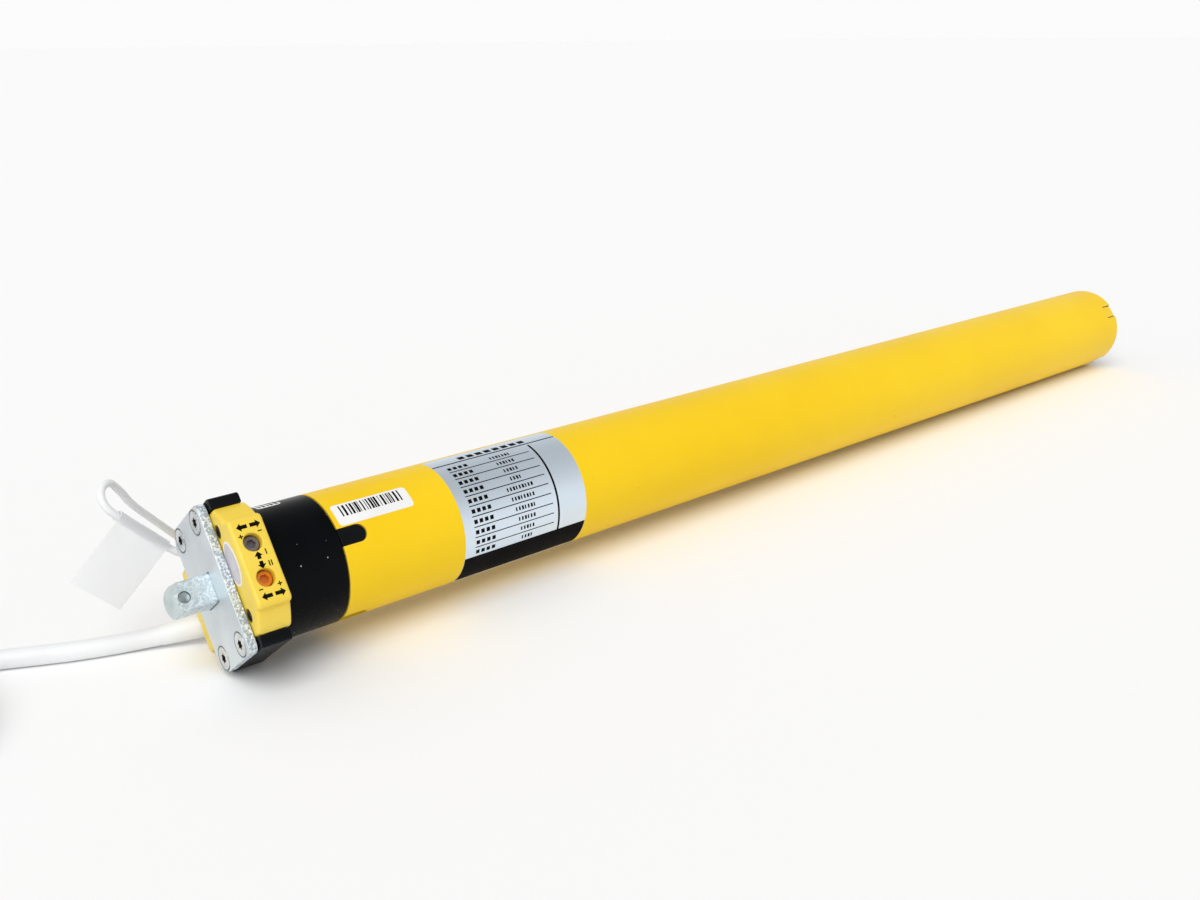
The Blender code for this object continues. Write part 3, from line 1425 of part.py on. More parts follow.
def coil_way():
    """The way the cord runs at both ends of the coil, which lie at the same angle."""
    return Vector((-math.sin(COIL_START), math.cos(COIL_START), 0))


def coil_points():
    total = 2 * COIL_TURNS + 0.5
    count = round(total * COIL_POINTS)
    turns = [coil_place(total * i / count) for i in range(count + 1)]
    straight = 2 * CORD_RADIUS * coil_way()
    return [turns[0] - straight, *turns, turns[-1] + straight]


def least_gap(points):
    """The least gap between a coil's own turns, measured on its points."""
    least = math.inf
    for i, a in enumerate(points):
        for b in points[i + COIL_POINTS // 2 :]:
            least = min(least, (a - b).length)
    return least - 2 * CORD_RADIUS


def power_cord():
    tip = on_floor(outlet_matrix() @ Vector((0, 0, GLAND_REACH + SEAT)))
    coil = coil_points()
    way = coil_way()
    route = [tip, *CORD_ROUTE, coil[0] - (SEAT + 2 * CORD_RADIUS) * way, coil[0] - SEAT * way]
    points = smooth(route, 2)
    wire("power_cord", points, CORD_RADIUS, FLOOR, "white_sheath", 3)
    wire("power_cord_coil", coil, CORD_RADIUS, FLOOR, "white_sheath", 1)
    print("coil's least gap to itself, mm:", round(least_gap(coil[1:-1]) / MM, 3))
    print("power cord's length, mm:", round((length_of(points) + length_of(coil) + GLAND_REACH) / MM, 1))
    return coil


def coil_tie():
    """A flat strap round all the turns, opposite the cord's ends."""
    angle = COIL_START + math.pi
    count = round(2 * COIL_TURNS + 0.5)
    radii = []
    for i in range(count):
        place = coil_place(i + 0.5)
        radii.append(math.hypot(place.x - COIL_CENTRE[0], place.y - COIL_CENTRE[1]))
    low = min(radii) - CORD_RADIUS - TIE_GAP
    high = max(radii) + CORD_RADIUS + TIE_GAP
    bottom = FLOOR_GAP + TIE_THICKNESS
    top = coil_base() + CORD_PITCH + CORD_RADIUS + TIE_GAP
    middle, half_width, half_height = (low + high) / 2, (high - low) / 2, (top - bottom) / 2
    inner = rounded_rectangle(half_width, half_height, CORD_RADIUS, CORD_RADIUS)
    outer = rounded_rectangle(
        half_width + TIE_THICKNESS,
        half_height + TIE_THICKNESS,
        CORD_RADIUS + TIE_THICKNESS,
        CORD_RADIUS + TIE_THICKNESS,
    )
    place = (
        COIL_CENTRE[0] + middle * math.cos(angle),
        COIL_CENTRE[1] + middle * math.sin(angle),
        (top + bottom) / 2,
    )
    extruded(
        "coil_tie",
        [outer, inner],
        -TIE_WIDTH / 2,
        TIE_WIDTH / 2,
        FLOOR,
        "black_plastic",
        at=place,
        turn=(math.pi / 2, 0, angle),
    )


def cord_cores(coil):
    """The cores at the cord's cut end, bent round with the coil and down towards its outer turn."""
    way = coil_way()
    outwards = Vector((way.y, -way.x, 0))
    bend_radius = COIL_RADIUS + CORD_RADIUS
    rest = coil_base() + CORD_RADIUS + CORE_WIRE_RADIUS + SEAT
    for i, finish in enumerate(("brown_sheath", "green_sheath", "blue_sheath")):
        side = i - (CORE_COUNT - 1) / 2
        start = coil[-1] + SEAT * way + side * CORE_STEP * outwards
        bend_start = start + CORD_RADIUS * way
        points = [start, bend_start]
        for share in (1 / 3, 2 / 3, 1):
            run = CORE_LENGTH * share
            outward = 0.5 * side * CORE_STEP * share - run**2 / (2 * bend_radius)
            drop = (start.z - rest) * (3 - 2 * share) * share**2
            points.append(bend_start + run * way + outward * outwards - Vector((0, 0, drop)))
        wire(f"cord_core_{i + 1}", smooth(points, 3), CORE_WIRE_RADIUS, FLOOR, finish, 1)


def antenna():
    """The receiver's wire, out of the cable cover, through its tag, in a loop and down behind the head."""
    start = on_floor((ANTENNA_X, ANTENNA_Y, COVER_FRONT + ANTENNA_SOCKET))
    points = smooth([start, *ANTENNA_ROUTE], 2)
    wire("antenna_wire", points, ANTENNA_RADIUS, FLOOR, "white_sheath", 2)
    print("antenna's length, mm:", round(length_of(points) / MM, 1))


def antenna_tag():
    """A thin film tag that hangs in front of the wire, its top edge curled over it."""
    along = Vector(TAG_TOP).normalized()
    behind = Vector((0, 1, 0))
    down = along.cross(behind)
    frame = empty("tag_frame", FLOOR)
    frame.matrix_local = Matrix.Translation(TAG_START) @ Matrix((down, behind, -along)).transposed().to_4x4()
    inner = ANTENNA_RADIUS + SEAT
    outer = inner + TAG_THICKNESS
    curl = math.degrees(TAG_CURL_ANGLE)
    outline = [(TAG_DROP, -inner), (TAG_DROP, -outer)]
    outline += arc((0, 0), outer, 270, 270 - curl, 3 * ARC_STEPS)
    outline += arc((0, 0), inner, 270 - curl, 270, 3 * ARC_STEPS)
    extruded("antenna_tag", [outline], -TAG_LENGTH, 0, frame, "white_film")


# Assembly

motor_tube()
limit_ring()
head_body()
mounting_plate()
plate_screws()
square_stub()
limit_cover()
cover_screws("limit_cover_screw", 1)
adjusting_screw("limit_screw_up", 1, "grey_plastic")
adjusting_screw("limit_screw_down", -1, "orange_plastic")
cable_cover_and_gland()
cover_screws("cable_cover_screw", -1)
limit_switch_unit()
limit_input_gear()
receiver_board()
run_capacitor()
motor_front_bell()
stator_core()
end_winding("winding_front", FRONT_BELL_END - WINDING_LENGTH, FRONT_BELL_END)
end_winding("winding_rear", REAR_BELL_START, REAR_BELL_START + WINDING_LENGTH)
rotor()
motor_bell("motor_rear_bell", REAR_BELL_START, 1)
bearing("bearing_front", FRONT_BELL_START + BELL_WEB + SEAT)
bearing("bearing_rear", REAR_BELL_START + WINDING_LENGTH + SEAT)
brake()
ring_gear()
planets()
carriers()
end_cap()
centre_on_floor()
cord_coil = power_cord()
coil_tie()
cord_cores(cord_coil)
antenna()
antenna_tag()
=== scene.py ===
import json
import math

import bmesh
import bpy
from mathutils import Matrix, Vector


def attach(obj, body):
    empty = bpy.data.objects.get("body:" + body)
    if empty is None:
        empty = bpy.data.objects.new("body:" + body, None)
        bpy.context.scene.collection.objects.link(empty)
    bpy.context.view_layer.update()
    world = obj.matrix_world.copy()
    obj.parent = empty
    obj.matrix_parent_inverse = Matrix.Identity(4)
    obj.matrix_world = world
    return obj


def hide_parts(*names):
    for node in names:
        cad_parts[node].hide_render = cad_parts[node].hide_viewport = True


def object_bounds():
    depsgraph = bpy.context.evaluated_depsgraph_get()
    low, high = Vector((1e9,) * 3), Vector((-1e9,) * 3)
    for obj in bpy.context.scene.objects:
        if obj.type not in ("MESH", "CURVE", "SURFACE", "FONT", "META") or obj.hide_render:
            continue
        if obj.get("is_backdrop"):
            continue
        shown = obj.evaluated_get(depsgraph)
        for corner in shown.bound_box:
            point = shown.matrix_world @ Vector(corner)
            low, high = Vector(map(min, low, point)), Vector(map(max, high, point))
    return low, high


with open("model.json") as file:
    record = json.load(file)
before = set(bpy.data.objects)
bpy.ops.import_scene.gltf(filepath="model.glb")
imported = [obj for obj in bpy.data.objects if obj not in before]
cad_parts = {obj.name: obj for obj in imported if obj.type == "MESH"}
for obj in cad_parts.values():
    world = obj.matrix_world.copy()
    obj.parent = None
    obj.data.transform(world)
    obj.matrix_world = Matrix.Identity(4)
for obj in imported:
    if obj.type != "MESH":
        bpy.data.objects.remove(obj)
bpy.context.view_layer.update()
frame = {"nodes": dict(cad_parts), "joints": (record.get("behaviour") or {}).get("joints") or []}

# The camera
# It stands low in front of the head, a little to the left, and looks along the tube
# as the tube runs away to the right, as in the photograph.
mm = 0.001
bpy.ops.object.select_all(action="DESELECT")
bpy.ops.object.camera_add(
    location=(-413.215 * mm, -339.267 * mm, 196.078 * mm),
    rotation=(math.radians(70.457), math.radians(0.513), math.radians(-41.223)),
)
bpy.context.scene.camera = bpy.context.object
bpy.context.object.data.sensor_width = 36
bpy.context.object.data.lens = 35.106


# The power cord
# A round three-core lead with a soft white sheath, 6.6 mm thick. It leaves the gland on the head,
# lies along the floor and is put away in a tied coil of two layers, one length from end to end.
joints = {joint["name"]: joint for joint in frame["joints"]}
head_end = Vector(joints["rotor_spin"]["pos_m"])
along_tube = Vector(joints["rotor_spin"]["axis"]).normalized()
limit_side = Vector(joints["limit_screw_up_turn"]["axis"]).normalized()
across_plate = limit_side.cross(along_tube).normalized()
# From the motor's own axes (across the plate, out of the limit face, along the tube) to the floor's.
lying = Matrix.Translation(head_end) @ Matrix((across_plate, limit_side, along_tube)).transposed().to_4x4()
below_head = Vector((head_end.x, head_end.y, 0))

cord_radius = 3.3 * mm
outlet_place = Vector((-5.4 * mm, -29.6 * mm, -27.6 * mm))
outlet_tilt = math.radians(27.8)
outlet_swing = math.radians(20)
gland_reach = 20 * mm
cord_route = [
    (-50.2 * mm, 31.4 * mm, 3.85 * mm),
    (-56.0 * mm, 33.9 * mm, 3.45 * mm),
    (-64.0 * mm, 36.9 * mm, 3.4 * mm),
    (-72.2 * mm, 40.4 * mm, 3.4 * mm),
    (-79.6 * mm, 44.2 * mm, 3.4 * mm),
    (-91.2 * mm, 50.4 * mm, 3.4 * mm),
    (-104.0 * mm, 56.2 * mm, 3.5 * mm),
    (-117.0 * mm, 61.5 * mm, 3.9 * mm),
]
coil_centre = Vector((-156 * mm, 26 * mm, 0))
coil_radius = 47.5 * mm
coil_start = math.radians(68)
coil_turns = 2.75  # of each of the two layers
coil_climb = 0.5  # turns taken to climb from the lower layer to the upper one
coil_points = 24  # points a turn
coil_pitch = 2 * cord_radius + 0.6 * mm
coil_base = 4.25 * mm  # height of the lower turns' middle, on top of the strap below them
coil_way = Vector((-math.sin(coil_start), math.cos(coil_start), 0))


def coil_place(turns):
    """The cord's middle after so many turns: inwards below, up a layer, then outwards above."""
    inner = coil_radius - coil_pitch * coil_turns
    climb = min(max((turns - coil_turns) / coil_climb, 0), 1)
    if turns < coil_turns:
        radius = coil_radius - coil_pitch * turns
    elif turns < coil_turns + coil_climb:
        radius = inner - 0.5 * coil_pitch * climb * (1 - climb)
    else:
        radius = inner + coil_pitch * (turns - coil_turns - coil_climb)
    height = coil_base + coil_pitch * climb**2 * (3 - 2 * climb)
    angle = coil_start + 2 * math.pi * turns
    return coil_centre + Vector((radius * math.cos(angle), radius * math.sin(angle), height))


def laid_line(name, points, radius, sides):
    """A round cord or wire as one smooth open curve through the given points."""
    curve = bpy.data.curves.new(name, "CURVE")
    curve.dimensions = "3D"
    curve.bevel_depth = radius
    curve.bevel_resolution = sides // 2 - 2
    curve.resolution_u = 6
    curve.use_fill_caps = True
    spline = curve.splines.new("BEZIER")
    spline.bezier_points.add(len(points) - 1)
    for knot, point in zip(spline.bezier_points, points):
        knot.co = point
        knot.handle_left_type = knot.handle_right_type = "AUTO"
    line = bpy.data.objects.new(name, curve)
    bpy.context.collection.objects.link(line)
    return line


def surface(name, colours, patch, rough, grain, relief, metal=0.0, worn=None, sockets=None):
    """A finish whose colour drifts over patches, and whose gloss and relief follow a finer grain.

    patch and grain are sizes on the real surface; worn is a colour that shows along rubbed edges.
    """
    material = bpy.data.materials.new(name)
    material.use_nodes = True
    nodes, link = material.node_tree.nodes, material.node_tree.links.new
    shader = nodes["Principled BSDF"]
    shader.inputs["Metallic"].default_value = metal
    for socket, value in (sockets or {}).items():
        shader.inputs[socket].default_value = value
    place = nodes.new("ShaderNodeTexCoord").outputs["Object"]

    drift = nodes.new("ShaderNodeTexNoise")
    drift.name = "drift"
    drift.inputs["Scale"].default_value = 1 / patch
    drift.inputs["Detail"].default_value = 4
    link(place, drift.inputs["Vector"])
    tint = nodes.new("ShaderNodeValToRGB")
    tint.name = "tint"
    for stop, position, colour in zip(tint.color_ramp.elements, (0.36, 0.64), colours):
        stop.position = position
        stop.color = (*colour, 1)
    link(drift.outputs["Fac"], tint.inputs["Fac"])
    link(tint.outputs["Color"], shader.inputs["Base Color"])

    fine = nodes.new("ShaderNodeTexNoise")
    fine.name = "fine"
    fine.inputs["Scale"].default_value = 1 / grain
    fine.inputs["Detail"].default_value = 3
    link(place, fine.inputs["Vector"])
    gloss = nodes.new("ShaderNodeMapRange")
    gloss.inputs["From Min"].default_value = 0.3
    gloss.inputs["From Max"].default_value = 0.7
    gloss.inputs["To Min"].default_value = rough[0]
    gloss.inputs["To Max"].default_value = rough[1]
    link(fine.outputs["Fac"], gloss.inputs["Value"])
    link(gloss.outputs["Result"], shader.inputs["Roughness"])
    bump = nodes.new("ShaderNodeBump")
    bump.name = "bump"
    bump.inputs["Distance"].default_value = relief
    link(fine.outputs["Fac"], bump.inputs["Height"])
    link(bump.outputs["Normal"], shader.inputs["Normal"])
    if worn:
        layer_over(material, worn, rubbed_edges(material))
    return material


def layer_over(material, colour, amount):
    """Lays another colour over a finish's colour, by an amount that another node gives."""
    nodes, link = material.node_tree.nodes, material.node_tree.links.new
    base = nodes["Principled BSDF"].inputs["Base Color"]
    mix = nodes.new("ShaderNodeMix")
    mix.data_type = "RGBA"
    under, over = mix.inputs[6], mix.inputs[7]
    link(base.links[0].from_socket, under)
    over.default_value = (*colour, 1)
    link(amount, mix.inputs[0])
    link(mix.outputs[2], base)


def rubbed_edges(material):
    """How far an edge is rubbed: where the surface turns sharply, broken up by the finish's own drift."""
    nodes, link = material.node_tree.nodes, material.node_tree.links.new
    rounded = nodes.new("ShaderNodeBevel")
    rounded.inputs["Radius"].default_value = 0.4 * mm
    straight = nodes.new("ShaderNodeVectorMath")
    straight.operation = "DOT_PRODUCT"
    link(rounded.outputs["Normal"], straight.inputs[0])
    link(nodes.new("ShaderNodeNewGeometry").outputs["Normal"], straight.inputs[1])
    edge = nodes.new("ShaderNodeMapRange")
    edge.inputs["From Min"].default_value = 0.985
    edge.inputs["From Max"].default_value = 0.9
    link(straight.outputs["Value"], edge.inputs["Value"])
    broken = nodes.new("ShaderNodeMath")
    broken.operation = "MULTIPLY"
    link(edge.outputs["Result"], broken.inputs[0])
    link(nodes["drift"].outputs["Fac"], broken.inputs[1])
    return broken.outputs["Value"]


outlet_way = Vector(
    (
        math.sin(outlet_tilt) * math.sin(outlet_swing),
        -math.sin(outlet_tilt) * math.cos(outlet_swing),
        -math.cos(outlet_tilt),
    )
)
outlet = lying @ Matrix.Translation(outlet_place) @ outlet_way.to_track_quat("Z", "Y").to_matrix().to_4x4()
turn_count = 2 * coil_turns + coil_climb
turn_steps = round(turn_count * coil_points)
coil = [coil_place(turn_count * i / turn_steps) for i in range(turn_steps + 1)]
coil_ends = 2 * cord_radius * coil_way
cord_end = below_head + coil[-1] + coil_ends
cord_line = [outlet @ Vector((0, 0, share * gland_reach)) for share in (0.1, 0.55, 1.0)]
cord_line += [below_head + Vector(point) for point in cord_route]
cord_line += [below_head + coil[0] - 2 * coil_ends, below_head + coil[0] - coil_ends]
cord_line += [below_head + point for point in coil]
cord_line += [cord_end]
white_sheath = surface(
    "white_sheath",
    colours=((0.82, 0.83, 0.84), (0.89, 0.90, 0.91)),
    patch=26 * mm,
    rough=(0.36, 0.52),
    grain=1.4 * mm,
    relief=0.03 * mm,
    sockets={"Subsurface Weight": 0.12, "Subsurface Radius": (0.004, 0.004, 0.004)},
)
power_cord = laid_line("power_cord_sheath", cord_line, cord_radius, sides=24)
power_cord.data.materials.append(white_sheath)
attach(power_cord, "housing")
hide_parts("power_cord", "power_cord_coil")


# The cord's cores
# Three stranded copper wires in brown, green and blue insulation. They come out of the cut sheath
# at the end of the coil, bend round with it, and their ends are stripped bare for the terminals.
core_radius = 0.85 * mm
core_step = 2.0 * mm
core_length = 38 * mm
stripped_length = 6 * mm
core_colours = {
    "brown": ((0.12, 0.05, 0.022), (0.19, 0.085, 0.04)),
    "green": ((0.16, 0.33, 0.035), (0.24, 0.47, 0.06)),
    "blue": ((0.022, 0.095, 0.36), (0.035, 0.15, 0.52)),
}
bare_copper = surface(
    "bare_copper",
    colours=((0.62, 0.24, 0.09), (0.80, 0.36, 0.15)),
    patch=3 * mm,
    rough=(0.22, 0.4),
    grain=0.25 * mm,
    relief=0.06 * mm,
    metal=1.0,
)
core_outwards = Vector((coil_way.y, -coil_way.x, 0))
core_bend = coil_radius + cord_radius
core_rest = coil_base + cord_radius + core_radius + 0.3 * mm
for i, (colour, shades) in enumerate(core_colours.items()):
    side = i - 1
    start = cord_end + side * core_step * core_outwards
    bend_start = start + cord_radius * coil_way
    core_line = [start, bend_start]
    for share in (0.28, 0.56, 0.84, 1.0):
        run = core_length * share
        outward = 0.5 * side * core_step * share - run**2 / (2 * core_bend)
        drop = (start.z - core_rest) * (3 - 2 * share) * share**2
        core_line.append(bend_start + run * coil_way + outward * core_outwards - Vector((0, 0, drop)))
    core = laid_line(f"cord_core_{colour}", core_line[:-1], core_radius, sides=12)
    core.data.materials.append(
        surface(
            f"{colour}_sheath",
            colours=shades,
            patch=8 * mm,
            rough=(0.34, 0.5),
            grain=0.8 * mm,
            relief=0.01 * mm,
        )
    )
    strands = laid_line(f"core_strands_{colour}", core_line[-2:], 0.62 * core_radius, sides=10)
    strands.data.materials.append(bare_copper)
    for piece in (core, strands):
        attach(piece, "housing")
    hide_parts(f"cord_core_{i + 1}")
    core_length_laid = sum((b - a).length for a, b in zip(core_line, core_line[1:-1]))


# The coil's strap
# A black nylon tie, 5 mm wide, pulled round all the turns opposite the cord's ends. Its toothed tail
# runs through the locking head on top and is cut off short.
def start_piece(name, add_primitive, **size):
    """Adds a primitive at its size and place, with nothing else selected, as the start of a piece."""
    bpy.ops.object.select_all(action="DESELECT")
    add_primitive(**size)
    piece = bpy.context.object
    piece.name = piece.data.name = name
    bpy.ops.object.transform_apply(location=True, rotation=True, scale=True)
    return piece


def block(name, low, high):
    """A cube drawn out between two corners."""
    low, high = Vector(low), Vector(high)
    return start_piece(
        name, bpy.ops.mesh.primitive_cube_add, size=1, location=(low + high) / 2, scale=high - low
    )


def edit(piece, kind):
    """Opens a piece for editing with nothing selected; kind is VERT, EDGE or FACE."""
    bpy.ops.object.select_all(action="DESELECT")
    bpy.context.view_layer.objects.active = piece
    piece.select_set(True)
    bpy.ops.object.mode_set(mode="EDIT")
    bpy.ops.mesh.select_mode(type=kind)
    bpy.ops.mesh.select_all(action="DESELECT")


def pick_faces(piece, wanted):
    """Selects the faces for which wanted(middle, normal) holds."""
    sheet = bmesh.from_edit_mesh(piece.data)
    for face in sheet.faces:
        face.select_set(bool(wanted(face.calc_center_median(), face.normal)))
    sheet.select_flush_mode()
    bmesh.update_edit_mesh(piece.data)


def pick_edges(piece, wanted):
    """Selects the edges for which wanted(one end, other end) holds."""
    sheet = bmesh.from_edit_mesh(piece.data)
    for line in sheet.edges:
        line.select_set(bool(wanted(line.verts[0].co, line.verts[1].co)))
    sheet.select_flush_mode()
    bmesh.update_edit_mesh(piece.data)


def done():
    bpy.ops.object.mode_set(mode="OBJECT")


def apply_step(piece, kind, **settings):
    """Adds one modifier with its settings and applies it."""
    bpy.ops.object.select_all(action="DESELECT")
    bpy.context.view_layer.objects.active = piece
    piece.select_set(True)
    step = piece.modifiers.new(kind.lower(), kind)
    for name, value in settings.items():
        setattr(step, name, value)
    bpy.ops.object.modifier_apply(modifier=step.name)


def fuse(piece, tool):
    """Joins another body to a piece, so that both are one."""
    apply_step(piece, "BOOLEAN", object=tool, operation="UNION", solver="EXACT")
    bpy.data.objects.remove(tool)


def cut(piece, tool):
    """Takes a tool's shape out of a piece."""
    apply_step(piece, "BOOLEAN", object=tool, operation="DIFFERENCE", solver="EXACT")
    bpy.data.objects.remove(tool)


def ease_edges(piece, width, steps=2, sharper_than=40):
    """Rounds every edge that is sharper than an angle, as moulding, tumbling or plating leaves it."""
    apply_step(
        piece,
        "BEVEL",
        width=width,
        segments=steps,
        limit_method="ANGLE",
        angle_limit=math.radians(sharper_than),
        use_clamp_overlap=False,
        harden_normals=False,
    )


def settle(piece, material, body, place=lying, smooth=38):
    """Lays a piece where it belongs, with its place in its mesh, and fixes it to a moving body."""
    bpy.ops.object.select_all(action="DESELECT")
    bpy.context.view_layer.objects.active = piece
    piece.select_set(True)
    piece.data.transform(place)
    piece.data.materials.clear()
    piece.data.materials.append(material)
    bpy.ops.object.shade_smooth_by_angle(angle=math.radians(smooth))
    apply_step(piece, "WEIGHTED_NORMAL", keep_sharp=True)
    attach(piece, body)
    return piece


tie_thickness = 0.6 * mm
tie_width = 5.0 * mm
tie_gap = 0.45 * mm
tie_angle = coil_start + math.pi
turn_radii = [(coil_place(i + 0.5) - coil_centre).xy.length for i in range(round(turn_count))]
tie_low = min(turn_radii) - cord_radius - tie_gap
tie_high = max(turn_radii) + cord_radius + tie_gap
tie_bottom = 0.65 * mm
tie_top = coil_base + coil_pitch + cord_radius + tie_gap
tie = block(
    "coil_tie_strap",
    (tie_low - tie_thickness, -tie_width / 2, tie_bottom - tie_thickness),
    (tie_high + tie_thickness, tie_width / 2, tie_top + tie_thickness),
)
edit(tie, "EDGE")
pick_edges(tie, lambda a, b: abs(a.y - b.y) > tie_width / 2)
bpy.ops.mesh.bevel(offset=cord_radius, segments=6)
bpy.ops.mesh.select_mode(type="FACE")
pick_faces(tie, lambda middle, normal: abs(normal.y) > 0.9)
bpy.ops.mesh.inset(thickness=tie_thickness)
bpy.ops.mesh.bridge_edge_loops()
done()
tie_head_at = tie_low + 0.62 * (tie_high - tie_low)
tie_head = block(
    "tie_head",
    (tie_head_at - 4 * mm, -3.6 * mm, tie_top - 0.1 * mm),
    (tie_head_at + 4 * mm, 3.6 * mm, tie_top + 4.2 * mm),
)
edit(tie_head, "EDGE")
bpy.ops.mesh.select_all(action="SELECT")
bpy.ops.mesh.bevel(offset=0.9 * mm, segments=3)
done()
fuse(tie, tie_head)
tie_tail = block(
    "tie_tail",
    (tie_head_at - 15 * mm, -tie_width / 2, tie_top + 1.6 * mm),
    (tie_head_at + 5.5 * mm, tie_width / 2, tie_top + 2.7 * mm),
)
fuse(tie, tie_tail)
ease_edges(tie, 0.12 * mm)
black_nylon = surface(
    "black_nylon",
    colours=((0.010, 0.010, 0.011), (0.022, 0.022, 0.024)),
    patch=12 * mm,
    rough=(0.4, 0.58),
    grain=0.5 * mm,
    relief=0.02 * mm,
)
settle(
    tie,
    black_nylon,
    "housing",
    place=Matrix.Translation(below_head + coil_centre) @ Matrix.Rotation(tie_angle, 4, "Z"),
)
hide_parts("coil_tie")


# The cord's gland
# A plain soft sleeve of the cord's own white, moulded round it and seated in the cable cover's collar.
# It tapers towards its tip and ends in a rounded lip on the cord.
def turned(name, section, steps=96):
    """A round piece: its half section, drawn from one point to the next, spun about the axis."""
    piece = start_piece(name, bpy.ops.mesh.primitive_plane_add, size=mm)
    edit(piece, "VERT")
    bpy.ops.mesh.select_all(action="SELECT")
    bpy.ops.mesh.merge(type="CENTER")
    radius, height = section[0]
    bpy.ops.transform.translate(value=(radius, 0, height))
    for (radius, height), (next_radius, next_height) in zip(section, section[1:]):
        step = (next_radius - radius, 0, next_height - height)
        bpy.ops.mesh.extrude_region_move(TRANSFORM_OT_translate={"value": step})
    bpy.ops.mesh.select_all(action="SELECT")
    bpy.ops.mesh.spin(steps=steps, angle=2 * math.pi, center=(0, 0, 0), axis=(0, 0, 1))
    bpy.ops.mesh.select_all(action="SELECT")
    bpy.ops.mesh.remove_doubles(threshold=0.001 * mm)
    bpy.ops.mesh.normals_make_consistent(inside=False)
    done()
    return piece


gland_seat_radius = 4.1 * mm
gland_tip_radius = 3.55 * mm
gland_foot = -1.7 * mm
collar_height = 2.9 * mm
gland = turned(
    "cord_gland_sleeve",
    [
        (0, gland_foot),
        (gland_seat_radius, gland_foot),
        (gland_seat_radius, collar_height),
        (gland_tip_radius, gland_reach),
        (0, gland_reach),
    ],
    steps=64,
)
ease_edges(gland, 0.22 * mm, steps=3)
settle(gland, white_sheath, "housing", place=outlet)
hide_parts("cord_gland")


# The antenna wire
# The receiver's aerial, a single insulated wire 2.6 mm thick. It comes out of the cable cover behind
# the plate, rises through its tag, turns over in a loop and hangs down to the floor behind the head.
antenna_radius = 1.3 * mm
antenna_hole = Vector((18.1 * mm, -17.3 * mm, -34.9 * mm))
antenna_root = antenna_hole + Vector((0, 0, 4 * mm))
antenna_route = [
    (-35.6 * mm, 24.7 * mm, 33.2 * mm),
    (-38.2 * mm, 24.9 * mm, 34.8 * mm),
    (-41.2 * mm, 25.0 * mm, 37.6 * mm),
    (-46.0 * mm, 25.0 * mm, 42.7 * mm),
    (-50.8 * mm, 25.0 * mm, 47.8 * mm),
    (-55.5 * mm, 25.0 * mm, 52.8 * mm),
    (-58.0 * mm, 26.2 * mm, 56.6 * mm),
    (-57.6 * mm, 29.0 * mm, 60.2 * mm),
    (-54.4 * mm, 32.0 * mm, 61.4 * mm),
    (-50.6 * mm, 34.4 * mm, 57.6 * mm),
    (-46.9 * mm, 35.5 * mm, 51.4 * mm),
    (-41.0 * mm, 36.2 * mm, 44.2 * mm),
    (-33.2 * mm, 37.0 * mm, 35.2 * mm),
    (-24.0 * mm, 38.6 * mm, 24.6 * mm),
    (-15.0 * mm, 40.6 * mm, 14.6 * mm),
    (-5.0 * mm, 43.0 * mm, 6.2 * mm),
    (6.0 * mm, 45.5 * mm, 2.3 * mm),
    (18.0 * mm, 47.0 * mm, 1.45 * mm),
    (30.0 * mm, 47.2 * mm, 1.4 * mm),
]
antenna_line = [lying @ antenna_root] + [below_head + Vector(point) for point in antenna_route]
antenna = laid_line("antenna_wire_sheath", antenna_line, antenna_radius, sides=16)
antenna.data.materials.append(white_sheath)
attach(antenna, "housing")
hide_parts("antenna_wire")


# The antenna's tag
# A small bare tag of frosted white film, folded over the wire so that it hangs in front of it.
# The film is thin and a little springy, so its free edge bows and its corners lift.
tag_start = below_head + Vector((-41.3 * mm, 25.0 * mm, 37.7 * mm))
tag_along = Vector((-0.6861, 0, 0.7275)).normalized()
tag_behind = Vector((0, 1, 0))
tag_length = 20 * mm
tag_drop = 24.5 * mm
tag_curl = math.radians(235)
film_thickness = 0.3 * mm
tag_radius = antenna_radius + 0.55 * mm
tag_fold = tag_radius * tag_curl
tag = start_piece("antenna_tag_film", bpy.ops.mesh.primitive_grid_add, x_subdivisions=60, y_subdivisions=24, size=1)
for corner in tag.data.vertices:
    down = tag_drop - (corner.co.x + 0.5) * (tag_drop + tag_fold)
    share = corner.co.y + 0.5
    bow = math.sin(math.pi * share) * max(down, 0) / tag_drop
    lift = (2 * share - 1) ** 4 * max(down / tag_drop, 0) ** 3
    if down >= 0:
        corner.co = (down, -tag_radius - 0.5 * mm * bow + 0.9 * mm * lift, -share * tag_length)
    else:
        turn = math.radians(270) + down / tag_radius
        corner.co = (tag_radius * math.cos(turn), tag_radius * math.sin(turn), -share * tag_length)
apply_step(tag, "SOLIDIFY", thickness=film_thickness, offset=0)
edit(tag, "FACE")
bpy.ops.mesh.select_all(action="SELECT")
bpy.ops.mesh.normals_make_consistent(inside=False)
done()
white_film = surface(
    "white_film",
    colours=((0.95, 0.955, 0.965), (0.98, 0.98, 0.985)),
    patch=9 * mm,
    rough=(0.3, 0.45),
    grain=2.2 * mm,
    relief=0.05 * mm,
    sockets={"Transmission Weight": 0.7, "IOR": 1.2},
)
tag_axes = Matrix((tag_along.cross(tag_behind), tag_behind, -tag_along)).transposed().to_4x4()
settle(tag, white_film, "housing", place=Matrix.Translation(tag_start) @ tag_axes, smooth=60)
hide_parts("antenna_tag")


